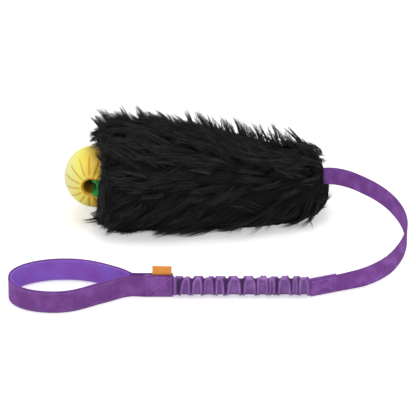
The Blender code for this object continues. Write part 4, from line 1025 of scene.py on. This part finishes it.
def tuft_lines(root, normal, first, second, tip, broad, rng, gathered=0.66):
    """Guides from root to tip, and the directions that each tuft spreads in, along it."""
    count = len(root)
    broad = np.broadcast_to(broad, count)
    t = np.linspace(0, 1, GUIDE_POINTS)[None, :, None]
    line = ((1 - t) ** 3 * root[:, None] + 3 * (1 - t) ** 2 * t * first[:, None]
            + 3 * (1 - t) * t**2 * second[:, None] + t**3 * tip[:, None])
    side = unit(np.cross(normal, tip - root))
    phase = rng.uniform(0, math.tau, count)[:, None, None]
    wave = rng.uniform(0.6, 2.4, count)[:, None, None] * MM
    line = line + side[:, None] * wave * np.sin(math.tau * 0.9 * t + phase) * t
    fan = (1 - gathered * t) * broad[:, None, None] * rng.uniform(0.8, 1.2, count)[:, None, None]
    lengthways = np.cross(side, normal)
    lifted = normal[:, None] * 0.5 * broad[:, None, None] * t
    return line, side[:, None] * fan, lengthways[:, None] * fan, lifted


def wander(x, angle, turns):
    """Slow waves in the way that the hair lies, from place to place."""
    return np.sin(x / (13 * MM) + turns * angle + 0.7) + 0.7 * np.sin(x / (29 * MM) - 3 * angle + 2)


def grown_tufts(x, angle, rng, longer=1.0):
    """The tufts that cover the sleeve.

    Tips lie back towards the mouth. They stand up along the top, fall down the flanks, most
    of all beside the ball, and turn round the far end, where the webbing comes out.
    """
    count = len(x)
    rise = np.sin(angle)
    high, low, near = np.clip(rise, 0, 1), np.clip(-rise, 0, 1), np.clip(-np.cos(angle), 0, 1)
    x = x + (mouth_back(angle) + 2 * MM * near * rng.random(count)) * (1 - eased(x, CLOTH_FRONT_X, -0.064))
    root, normal = cloth_at(x, angle)
    inward, from_end = eased(x, CLOTH_FRONT_X, -0.048), eased(-x, -0.150, -0.112)
    back = eased(x, CLOTH_FRONT_X, 0.035)
    run = PILE_RUN * rng.uniform(0.75, 1.25, count) * (0.45 + 0.55 * from_end) * longer
    run = run * (inward + (1 - inward) * (0.05 + 0.4 * high**3 + 0.5 * low**2))
    run = run * (1 - 0.5 * near * (1 - high) * (1 - back))
    fall = (0.5 - 1.2 * rise) * np.abs(np.cos(angle)) * (1.6 * eased(rise, -0.97, -0.45) - 0.6)
    fall = 22 * MM * (fall * (2.6 - 1.5 * back) + 0.34 * wander(x, angle, 2.1) + rng.normal(0, 0.15, count))
    wide, tall = cloth_sizes(x)
    turned = angle - np.sign(np.cos(angle)) * fall / (10 * MM + (wide + tall) / 2)
    tip_x = x - run
    held_x = np.maximum(tip_x, CLOTH_FRONT_X + 3 * MM)
    base, out = cloth_at(held_x, turned)
    depth, deep = pile_depth(root, normal), pile_depth(base, out)
    spin = pile_spin(base + out * deep[:, None])[0]
    row, number, share, centre = tuft_at(tip_x, spin)
    pull = rng.uniform(0.35, 0.85, count) * (share > -0.3)
    spin = spin + 0.75 * pull * (centre - spin)
    slid = np.clip(share, 0, 1) * 0.6 * pull
    tip_x = tip_x - slid * TUFT_REACH * (PILE_END_X - PILE_FRONT_X) / TUFT_ROWS * (0.3 + 0.7 * inward)
    taller = np.random.default_rng(5).random((TUFT_ROWS, 40))[row.astype(int), number.astype(int) % 40]
    lift = tuft_lift(share - slid, spin - centre, spin) + deep * rng.uniform(-0.08, 0.12, count)
    lift = lift + 6 * MM * np.clip(taller - 0.35, 0, 1) * high * pull + 2.5 * MM * low * near
    tip_x = tip_x + TUFT_SWAY * np.sin(3 * spin) * np.sin(math.pi * np.clip(
        (tip_x - PILE_FRONT_X) / (PILE_END_X - PILE_FRONT_X), 0, 1))
    tip = on_pile(tip_x, spin, lift)
    bulge = 15 * MM * (1 - from_end) * (1 - 0.9 * near * (1 - np.abs(rise)))
    ahead = np.array((1.0, 0, 0))
    first = root + normal * (depth * 1.08)[:, None] + ahead * bulge[:, None]
    second = tip + ahead * (run * 0.5 + bulge * 0.5)[:, None] - out * (
        0.5 * MM + np.maximum(0, lift) * 0.8)[:, None]
    return tuft_lines(root, normal, first, second, tip, TUFT_BREADTH, rng, gathered=0.4)


def fringe_tufts(rng):
    """Hair that falls round the mouth's near edge and hides the cloth's front."""
    count = FRINGE_GUIDES
    angle = np.radians(np.linspace(82, 262, count)) + rng.normal(0, 0.04, count)
    inside = rng.random(count) ** 1.4 * FRINGE_DEPTH
    x = CLOTH_FRONT_X + 0.5 * MM + mouth_back(angle) + inside
    root, normal = cloth_at(x, angle)
    fallen = angle + rng.uniform(0.3, 0.75, count) * np.clip(1.6 - np.abs(angle - 2.7), 0.3, 1)
    tip_x = CLOTH_FRONT_X + mouth_back(fallen) + 0.5 * inside - rng.uniform(-1.5, 1.8, count) * MM
    base, out = cloth_at(tip_x, fallen)
    tip = base + out * (pile_depth(base, out) * (rng.uniform(0.55, 0.9, count) + inside / LIE_RADIUS))[:, None]
    tip[:, 0] = tip_x
    first = root + normal * (pile_depth(root, normal) * (0.75 + inside / LIE_RADIUS))[:, None]
    first[:, 0] = root[:, 0] + 1 * MM
    second = first + (tip - first) * 0.6 + normal * BEND_OUT
    return tuft_lines(root, normal, first, second, tip, FRINGE_BREADTH, rng)


def ridge_hairs(rng):
    """Thin locks that stand along the top and lean towards the mouth."""
    count = RIDGE_GUIDES
    x, angle = rng.uniform(-0.074, 0.148, count), np.radians(rng.uniform(44, 76, count))
    root, normal = cloth_at(x, angle)
    depth = pile_depth(root, normal)
    first = root + normal * (depth * 0.8)[:, None]
    stand = rng.uniform(4, 11, count) + rng.uniform(2, 9, count) * eased(x, -0.01, 0.06)
    stand = stand + (2.5 + 7 * eased(x, 0.03, 0.05)) * (1 - eased(x, 0.12, 0.14))
    tip = first + normal * (depth * 0.2 + stand * MM)[:, None]
    tip[:, 0] -= rng.uniform(10, 24, count) * MM
    second = first + (tip - first) * 0.5 + normal * BEND_OUT
    return tuft_lines(root, normal, first, second, tip, RIDGE_BREADTH, rng)


def leading_tufts(rows, rng):
    """Pointed tufts that stand over the outline, each of a few guides that meet at its tip."""
    rows = np.array(rows, float)
    rows = np.repeat(rows, rows[:, 5].astype(int), axis=0)
    count = len(rows)
    broad = (2 + rows[:, 5] / 2) * MM
    x = np.clip(rows[:, 3] * MM + broad * rng.uniform(-1, 1, count), CLOTH_FRONT_X, CLOTH_END_X)
    angle = np.radians(rows[:, 4]) + broad * rng.uniform(-1, 1, count) / (28 * MM)
    tip = rows[:, :3] * MM + broad[:, None] * rng.normal(0, 0.42, (count, 3))
    root, normal = cloth_at(x, angle)
    depth = pile_depth(root, normal)
    first = root + normal * (depth * 0.8)[:, None]
    second = first + (tip - first) * 0.55 + normal * 1 * MM
    return tuft_lines(root, normal, first, second, tip, 0.55 * broad, rng)


def new_nodes(name, lines, inputs):
    """A tree that makes a shape on lines, and the sockets of its named inputs."""
    tree = bpy.data.node_groups.new(name, "GeometryNodeTree")
    for label, kind in ((lines, "Geometry"), *inputs):
        tree.interface.new_socket(label, in_out="INPUT", socket_type="NodeSocket" + kind)
    tree.interface.new_socket("Made", in_out="OUTPUT", socket_type="NodeSocketGeometry")
    return tree, add(tree, "NodeGroupInput").outputs


def end_nodes(tree, shape, material):
    """End a tree with its shape smooth, made real and of its material."""
    smooth = add(tree, "GeometryNodeSetShadeSmooth", {0: shape})
    real = add(tree, "GeometryNodeRealizeInstances", {0: smooth})
    add(tree, "NodeGroupOutput", {0: add(tree, "GeometryNodeSetMaterial", {0: real, "Material": material})})


def pile_nodes():
    """Nodes that fill each guide with locks, and each lock with tapered, wavy hairs."""
    tree, given = new_nodes("pile_from_tufts", "Guides", (
        ("Locks in a tuft", "Int"), ("Hairs in a lock", "Int"), ("Lock spread", "Float"), ("Lock wave", "Float"),
        ("Hair wave", "Float"), ("Hair radius", "Float"), ("Hidden share", "Float"), ("Shortest share", "Float"),
        ("Hair points", "Int"), ("Seed", "Int"), ("Ball centre", "Vector"), ("Ball radius", "Float"),
        ("Highest place", "Vector"), ("Fibre", "Material")))

    def chance(low, high, step):
        """A random value for each strand, or three where low and high are places."""
        kind, first = ("FLOAT_VECTOR", 0) if isinstance(low, tuple) else ("FLOAT", 2)
        seed = add(tree, MATH, (given["Seed"], step), operation="ADD")
        drawn = add(tree, "FunctionNodeRandomValue", {first: low, first + 1: high, "Seed": seed}, data_type=kind)
        return add(tree, "GeometryNodeFieldOnDomain", [drawn], domain="CURVE", data_type=kind)

    reach = add(tree, "GeometryNodeSplineParameter").outputs["Factor"]
    strands = add(tree, "GeometryNodeMeshToCurve", [given["Guides"]])
    for level, amount, share, wave, length in (
        (1, given["Locks in a tuft"], 1.0, given["Lock wave"], LOCK_WAVE_LENGTH),
        (2, given["Hairs in a lock"], given["Lock spread"], given["Hair wave"], HAIR_WAVE_LENGTH),
    ):
        strands = add(tree, "GeometryNodeDuplicateElements", {0: strands, "Amount": amount}, domain="SPLINE")
        drawn = add(tree, SPLIT, [chance((-1, -1, -1), (1, 1, 1), level)]).outputs
        moved = (0, 0, 0)
        for way, much in zip(("sideways", "lengthways", "lifted"), drawn):
            held = add(tree, "GeometryNodeInputNamedAttribute", {"Name": way}, data_type="FLOAT_VECTOR")
            spread = add(tree, VECTOR_MATH, {0: held, "Scale": much}, operation="SCALE")
            moved = add(tree, VECTOR_MATH, (moved, spread), operation="ADD")
        moved = add(tree, VECTOR_MATH, {0: moved, "Scale": share}, operation="SCALE")
        own = add(tree, VECTOR_MATH, {0: chance((-1, -1, -1), (1, 1, 1), level + 10), "Scale": 0.6},
                  operation="SCALE")
        place = add(tree, VECTOR_MATH, {0: add(tree, "GeometryNodeInputPosition"), "Scale": 1 / length},
                    operation="SCALE")
        there = add(tree, VECTOR_MATH, (place, own), operation="ADD")
        noise = add(tree, NOISE, {"Vector": there, "Scale": 1.0, "Detail": 1.0}).outputs["Color"]
        either_way = add(tree, VECTOR_MATH, (noise, (0.5, 0.5, 0.5)), operation="SUBTRACT")
        grown = add(tree, MATH, (wave, reach), operation="MULTIPLY")
        sway = add(tree, VECTOR_MATH, {0: either_way, "Scale": grown}, operation="SCALE")
        offset = add(tree, VECTOR_MATH, (moved, sway), operation="ADD")
        strands = add(tree, "GeometryNodeSetPosition", {0: strands, "Offset": offset})
    seen = {0: strands, 2: given["Hidden share"], 3: chance(given["Shortest share"], 1.0, 5)}
    strands = add(tree, "GeometryNodeTrimCurve", seen, mode="FACTOR")
    strands = add(tree, "GeometryNodeResampleCurve", {0: strands, "Count": given["Hair points"]}, mode="COUNT")
    away = add(tree, VECTOR_MATH, (add(tree, "GeometryNodeInputPosition"), given["Ball centre"]),
               operation="SUBTRACT")
    distance = add(tree, VECTOR_MATH, [away], operation="LENGTH")
    off_ball = add(tree, MATH, (distance, given["Ball radius"]), operation="MAXIMUM")
    outward = add(tree, VECTOR_MATH, [away], operation="NORMALIZE")
    out = add(tree, VECTOR_MATH, {0: outward, "Scale": off_ball}, operation="SCALE")
    clear = add(tree, VECTOR_MATH, (given["Ball centre"], out), operation="ADD")
    clear = add(tree, VECTOR_MATH, (clear, LOWEST_PLACE), operation="MAXIMUM")
    clear = add(tree, VECTOR_MATH, (clear, given["Highest place"]), operation="MINIMUM")
    strands = add(tree, "GeometryNodeSetPosition", {0: strands, "Position": clear})
    for name, value in (("tint", chance(0.0, 1.0, 7)), ("reach", reach)):
        strands = add(tree, "GeometryNodeStoreNamedAttribute", {0: strands, "Name": name, "Value": value},
                      data_type="FLOAT", domain="POINT")
    thinned = add(tree, MATH, (reach, 2.5), operation="POWER")
    thinned = add(tree, MATH, (thinned, 0.88), operation="MULTIPLY")
    taper = add(tree, MATH, (1.0, thinned), operation="SUBTRACT")
    radius = add(tree, MATH, (taper, given["Hair radius"]), operation="MULTIPLY")
    section = add(tree, "GeometryNodeCurvePrimitiveCircle", {"Resolution": 3, "Radius": 1.0})
    hairs = add(tree, "GeometryNodeCurveToMesh", {0: strands, 1: section, "Scale": radius, "Fill Caps": True})
    end_nodes(tree, hairs, given["Fibre"])
    return tree


def made_by(tree, base, name, **values):
    """The plain mesh that a tree makes from a base object, with its inputs set by name."""
    modifier = base.modifiers.new("made", "NODES")
    modifier.node_group = tree
    sockets = {item.name: item.identifier for item in tree.interface.items_tree if item.in_out == "INPUT"}
    for key, value in values.items():
        modifier[sockets[key.replace("_", " ")]] = value
    bpy.context.view_layer.update()
    mesh = bpy.data.meshes.new_from_object(base.evaluated_get(bpy.context.evaluated_depsgraph_get()))
    made = in_scene(name, mesh)
    bpy.data.objects.remove(base)
    return made


def guide_lines(name, lines, **vectors):
    """A mesh of open lines whose points hold named directions."""
    count, points = lines.shape[:2]
    index = np.arange(count * points).reshape(count, points)
    edges = np.stack([index[:, :-1], index[:, 1:]], axis=-1).reshape(-1, 2).tolist()
    mesh = bpy.data.meshes.new(name)
    mesh.from_pydata(lines.reshape(-1, 3).tolist(), edges, [])
    for key, value in vectors.items():
        attribute = mesh.attributes.new(key, "FLOAT_VECTOR", "POINT")
        attribute.data.foreach_set("vector", np.ascontiguousarray(value, np.float32).ravel())
    return in_scene(name, mesh)


PILE_PIECES = 8
BALL_GAP = 0.5 * MM
LOWEST_PLACE, HIGHEST_PLACE = (-10, -10, 0.4 * MM), (1, 0.1462, 0.1262)
LOCK_WAVE_LENGTH, HAIR_WAVE_LENGTH = 17 * MM, 8 * MM

# How each part of the pile is filled: locks in a tuft and hairs in a lock; how far a lock
# spreads; its wave, a hair's wave and a hair's radius in millimetres; and the shares of a hair
# that are hidden at its root and left on the shortest
PILE_FILLINGS = {
    "band": (6, 9, 0.34, 10, 3.2, 0.19, 0.3, 0.7),
    "tufts": (5, 8, 0.4, 5, 2.5, 0.15, 0.2, 0.5),
    "fringe": (5, 7, 0.3, 3, 1.5, 0.16, 0.15, 0.6),
    "ridge": (3, 6, 0.25, 7, 3, 0.14, 0.4, 0.7),
    "stray": (2, 4, 0.7, 14, 6, 0.09, 0.3, 0.8),
}


def grow(tree, name, tufts, filling, seed):
    """One piece of the pile, from its guides and its row of fillings."""
    line, sideways, lengthways, lifted = tufts
    locks, hairs, spread, lock_wave, hair_wave, radius, hidden, shortest = PILE_FILLINGS[filling]
    base = guide_lines("tuft_guides", line, sideways=sideways, lengthways=lengthways, lifted=lifted)
    piece = made_by(tree, base, name, Ball_centre=BALL_CENTRE, Ball_radius=BALL_RADIUS + BALL_GAP,
                    Highest_place=HIGHEST_PLACE, Fibre=black_fibre, Hair_points=5,
                    Locks_in_a_tuft=locks, Hairs_in_a_lock=hairs, Lock_spread=spread, Lock_wave=lock_wave * MM,
                    Hair_wave=hair_wave * MM, Hair_radius=radius * MM, Hidden_share=hidden,
                    Shortest_share=shortest, Seed=seed)
    dressed(piece, "sleeve", "fur_sleeve", slot="black_pile")


def make_pile():
    """The long pile, in pieces from the mouth to the far end, and a few stray hairs."""
    rng = np.random.default_rng(11)
    tree = pile_nodes()
    x, angle = tuft_roots(rng).T
    tufts = grown_tufts(x, angle, rng)
    order = np.argsort(x, kind="stable")
    for number, rows in enumerate(np.array_split(order, PILE_PIECES)):
        grow(tree, f"pile_band_{number + 1}", [part[rows] for part in tufts], "band", number * 31)
    for name, rows in (("top", LEADING_TUFTS[:TOP_TUFTS]), ("side", LEADING_TUFTS[TOP_TUFTS:])):
        grow(tree, f"pile_{name}_tufts", leading_tufts(rows, rng), "tufts", 400)
    grow(tree, "pile_mouth_fringe", fringe_tufts(rng), "fringe", 450)
    grow(tree, "pile_ridge_hairs", ridge_hairs(rng), "ridge", 480)
    x = np.concatenate([rng.uniform(-0.078, -0.055, STRAY_AT_MOUTH), rng.uniform(-0.06, 0.145, STRAY_ALONG)])
    stray = grown_tufts(x, rng.uniform(0, math.tau, len(x)), rng, longer=1.25)
    grow(tree, "pile_stray_hairs", stray, "stray", 500)


def across_lie(x, spin):
    """Distance round the pile, measured across the way that its hair lies."""
    slant = -np.cos(spin) * x * (1.2 - 0.7 * eased(x, -0.07, 0.03))
    return LIE_RADIUS * spin + slant + 2.5 * MM * wander(x, spin, 2)


# The underfur's last rings, as their share of its outline, place along X and swell; and the
# half width and height of the hole that its end leaves round the webbing
UNDERFUR_HOLE = (1.4 * MM, 10.8 * MM)
UNDERFUR_CLOSING = ((0.9, 0.1540, 0.3), (0.74, 0.1556, 0.75), (0.56, 0.1563, 1.0), (0.38, 0.1566, 0.9))


def make_underfur():
    """The dense fur that fills the pile to just under its tufts, closed round the webbing."""
    turn = math.tau * np.arange(361)[None] / 360
    station = np.concatenate([np.linspace(0.01, 0.95, 130), np.linspace(0.956, 0.984, 8)])[:, None]
    x = PILE_FRONT_X + (PILE_END_X - PILE_FRONT_X) * station + 0 * turn
    across = across_lie(x, turn)
    lift = 0
    for shift in np.linspace(-5, 5, 9) * MM:
        _, _, share, centre = tuft_at(x + shift + 2 * MM * np.sin(5 * turn), turn)
        lift = lift + tuft_lift(share, turn - centre, turn) / 9
    front = 1 - eased(station, 0, 0.06)
    lift = lift - UNDERFUR_DEPTH * (0.75 + 0.25 * np.sin(turn)) - 9 * MM * front
    ridge = np.abs(np.sin(across * 30 / LIE_RADIUS + 0.8 * np.sin(x / (7 * MM) + 4 * turn)))
    lift = lift + 2.2 * MM * (ridge**0.6 - 0.8) * (0.6 + 0.4 * np.sin(x / (11 * MM) + 3 * turn))
    outer = on_pile(x, turn, lift)
    outer[..., 0] += mouth_back(turn) * (1 - eased(station, 0, 0.1))
    outer[..., 2] = np.maximum(outer[..., 2], 0.5 * MM)
    middle = np.array((0, SLEEVE_Y, SLEEVE_Z))
    bulge = 6 * MM * eased(-np.sin(turn[0]), -0.1, 0.8) + 1.5 * MM * np.clip(np.cos(turn[0]), 0, 1)
    closing = []
    for share, x, swell in UNDERFUR_CLOSING:
        ring = middle + (outer[-1] - middle) * share
        ring[:, 0] = x + bulge * swell
        closing.append(ring)
    for x in (0.1556, CLOTH_END_X + 0.4 * MM):
        closing.append(points_at(x, SLEEVE_Y + UNDERFUR_HOLE[0] * powered(np.cos(turn[0]), 0.4),
                                 SLEEVE_Z + UNDERFUR_HOLE[1] * powered(np.sin(turn[0]), 0.4)))
    inner = on_cloth(np.linspace(CLOTH_END_X, CLOTH_FRONT_X + 0.5 * MM, 12)[:, None], turn, -0.1 * MM)
    inner[..., 0] += mouth_back(turn) * (inner[..., 0] < CLOTH_FRONT_X + 1 * MM)
    rings = np.concatenate([outer, closing, inner])
    across = np.concatenate([across, np.tile(across[-1:], (len(rings) - len(across), 1))])
    skinned = skin("underfur", rings[:, :-1], underfur, ends="joined", uv=np.stack([rings[..., 0], across], axis=-1))
    dressed(skinned, "sleeve", "fur_sleeve", slot="black_pile")


make_underfur()
make_pile()

# Stitches
STITCH_PITCH, STITCH_LENGTH, THREAD_RADIUS = 2.4 * MM, 2.0 * MM, 0.28 * MM
BLOCK_EDGE, SEAM_EDGE = 2.6 * MM, 2 * MM


def stitch_nodes():
    """Nodes that lay one small bead of thread after another along each line."""
    tree, given = new_nodes("stitches_on_lines", "Lines", (
        ("Pitch", "Float"), ("Stitch size", "Vector"), ("Thread", "Material")))
    lines = add(tree, "GeometryNodeMeshToCurve", [given["Lines"]])
    stops = add(tree, "GeometryNodeCurveToPoints", {0: lines, "Length": given["Pitch"]}, mode="LENGTH").outputs
    turn = add(tree, "FunctionNodeAlignRotationToVector", {"Vector": stops["Tangent"]}, axis="X")
    bead = add(tree, "GeometryNodeMeshUVSphere", {"Segments": 6, "Rings": 5, "Radius": 1.0})
    beads = add(tree, "GeometryNodeInstanceOnPoints", {
        0: stops["Points"], "Instance": bead, "Rotation": turn, "Scale": given["Stitch size"]})
    end_nodes(tree, beads, given["Thread"])
    return tree


def box_and_cross(place, low, high, left, right):
    """Lines of a sewn square with its cross, on a face given by place(along, height)."""
    corners = [(left, low), (right, low), (right, high), (left, high)]
    pairs = [(0, 1), (1, 2), (2, 3), (3, 0), (0, 2), (1, 3)]
    return [[place(*corners[a]), place(*corners[b])] for a, b in pairs]


def sewn(tree, name, lines, body):
    """Stitches along lines, as one piece on a body."""
    lines = [np.array(line, float) for line in lines]
    starts = np.cumsum([0] + [len(line) for line in lines])
    edges = [(a + i, a + i + 1) for a, line in zip(starts, lines) for i in range(len(line) - 1)]
    mesh = bpy.data.meshes.new(name)
    mesh.from_pydata(np.concatenate(lines).tolist(), edges, [])
    piece = made_by(tree, in_scene(name, mesh), name, Pitch=STITCH_PITCH, Thread=violet_thread,
                    Stitch_size=(STITCH_LENGTH / 2, THREAD_RADIUS, THREAD_RADIUS))
    dressed(piece, body, slot="purple_webbing")


def make_stitches():
    """Sewn squares on both blocks, on both faces, and a row along each edge of the hand loop."""
    tree = stitch_nodes()
    layer = (TAIL_CORE + LEASH_THICKNESS) / 2 + FIT + LEASH_THICKNESS / 2 + RIB_RISE
    front = []
    for sideways in (-layer, TAIL_CORE / 2 + RIB_RISE):
        front += box_and_cross(lambda along, height: front_tail_place(along, sideways, height),
                               BLOCK_EDGE, LEASH_WIDTH - BLOCK_EDGE, 0.08, 0.90)
    sewn(tree, "front_block_stitches", front, "leash")
    rear = []
    for side in (-1, 1):
        y = BUNGEE_Y + side * (TAIL_OFFSET + HANDLE_THICKNESS / 2 + RIB_RISE)
        rear += box_and_cross(lambda along, height: np.array((along, y, height)),
                              BLOCK_EDGE, HANDLE_WIDTH - BLOCK_EDGE, -FIT - SEAM_EDGE, -TAIL_LENGTH + SEAM_EDGE)
    sewn(tree, "rear_block_stitches", rear, "rear_block")
    line = loop_line()
    line = smooth_line(line[line[:, 0] < LOOP_ROOT[0] - LOOP_LENGTH * 0.14], 6)
    rows = []
    for z in (BLOCK_EDGE, HANDLE_WIDTH - BLOCK_EDGE):
        for inset in (-HANDLE_THICKNESS / 2 - RIB_RISE / 2, HANDLE_THICKNESS / 2 + LINING_THICKNESS):
            rows.append(on_edge(line, z, inset)[0][::6])
    sewn(tree, "hand_loop_stitches", rows, "hand_loop")


make_stitches()

# Label
LABEL_LEFT, LABEL_RIGHT = -21 * MM, -1.5 * MM
LABEL_LOW, LABEL_HIGH = 24.3 * MM, 35 * MM
RIBBON, LABEL_HALF = 0.5 * MM, 0.7 * MM
RIPPLE, SAG = 0.35 * MM, 0.25 * MM  # how far it waves to the side and up and down


def make_label():
    """A bare ribbon folded at its top, with its two plies a little apart."""
    rise = LABEL_HIGH - LABEL_LOW
    fold = np.linspace(0, math.pi, 9)
    half = LABEL_HALF
    outer = [(-half, z) for z in np.linspace(0, rise - half, 8)[:-1]]
    outer += [(-half * math.cos(a), rise - half + half * math.sin(a)) for a in fold]
    outer += [(half, z) for z in np.linspace(0, rise - half, 8)[:-1][::-1]]
    inner = [(y * (half - RIBBON) / half, min(z, rise - RIBBON)) for y, z in outer]
    section = np.array(outer + inner[::-1])
    x = np.linspace(LABEL_LEFT, LABEL_RIGHT, 40)[:, None]
    height = section[:, 1][None]
    ripple = RIPPLE * np.sin((x - LABEL_LEFT) / (4.2 * MM)) * (height / rise) ** 1.5
    y = BUNGEE_Y + section[:, 0][None] + ripple
    sag = SAG * np.sin((x - LABEL_LEFT) / (3.1 * MM) + 1) * (height / rise)
    rings = points_at(x, y, LABEL_LOW + height + sag - SAG * height / rise)
    round_it = along_line(np.vstack([section, section[:1]]))
    uv = np.stack(np.broadcast_arrays(x, round_it[None]), axis=-1)
    dressed(skin("bare_ribbon_label", rings, orange_ribbon, uv=uv), "rear_block", "label", slot="orange_ribbon")


make_label()

# Floor and light
FLOOR_SIZE, FLOOR_DROP = 8.0, 0.2 * MM
FLOOR_COLOUR, FLOOR_GLOW = "F4F4F4", 0.43
WORLD_LEVEL = 0.6
LAMP_AIM = Vector((0.02, 0, 0.02))
LAMPS = [
    ("overhead_softbox", (0.0, 0.1, 1.7), 10.0, 1.0),
    ("front_softbox", (-0.5, -1.7, 1.1), 4.5, 1.0),
]


def pale_floor():
    """A matt pale studio sweep: white to the camera, and it keeps the toy's soft shadow."""
    material = bpy.data.materials.new("pale_studio_floor")
    material.use_nodes = True
    tree = material.node_tree
    tree.nodes.remove(tree.nodes["Principled BSDF"])
    matt = add(tree, "ShaderNodeBsdfDiffuse", {"Color": hex_colour(FLOOR_COLOUR)})
    glow = add(tree, "ShaderNodeEmission", {"Color": (1, 1, 1, 1), "Strength": FLOOR_GLOW})
    lifted = add(tree, "ShaderNodeAddShader", (matt, glow))
    seen = add(tree, "ShaderNodeLightPath").outputs["Is Camera Ray"]
    feed(tree, tree.nodes["Material Output"].inputs["Surface"],
         add(tree, "ShaderNodeMixShader", (seen, matt, lifted)))
    return material


def make_studio():
    """The floor, a white world that lights evenly, and two soft lamps."""
    mesh = bpy.data.meshes.new("studio_floor")
    half = FLOOR_SIZE / 2
    corners = [(x, y, -FLOOR_DROP) for x, y in ((-half, -half), (half, -half), (half, half), (-half, half))]
    mesh.from_pydata(corners, [], [(0, 1, 2, 3)])
    mesh.materials.append(pale_floor())
    in_scene("studio_floor", mesh)
    world = bpy.data.worlds.new("studio")
    world.use_nodes = True
    tree = world.node_tree
    sky = tree.nodes["Background"].inputs
    path = add(tree, "ShaderNodeLightPath").outputs
    seen = add(tree, MATH, (path["Is Camera Ray"], path["Is Glossy Ray"]), operation="MAXIMUM")
    strength = add(tree, MATH, (seen, 1 - WORLD_LEVEL, WORLD_LEVEL), operation="MULTIPLY_ADD")
    feed(tree, sky["Strength"], strength)
    feed(tree, sky["Color"], (1, 1, 1, 1))
    bpy.context.scene.world = world
    for name, place, power, size in LAMPS:
        lamp = bpy.data.lights.new(name, "AREA")
        lamp.energy, lamp.size = power, size
        made = in_scene(name, lamp)
        made.location = place
        made.rotation_euler = (LAMP_AIM - Vector(place)).to_track_quat("-Z", "Y").to_euler()
    bpy.context.scene.view_settings.view_transform = "Standard"


make_studio()
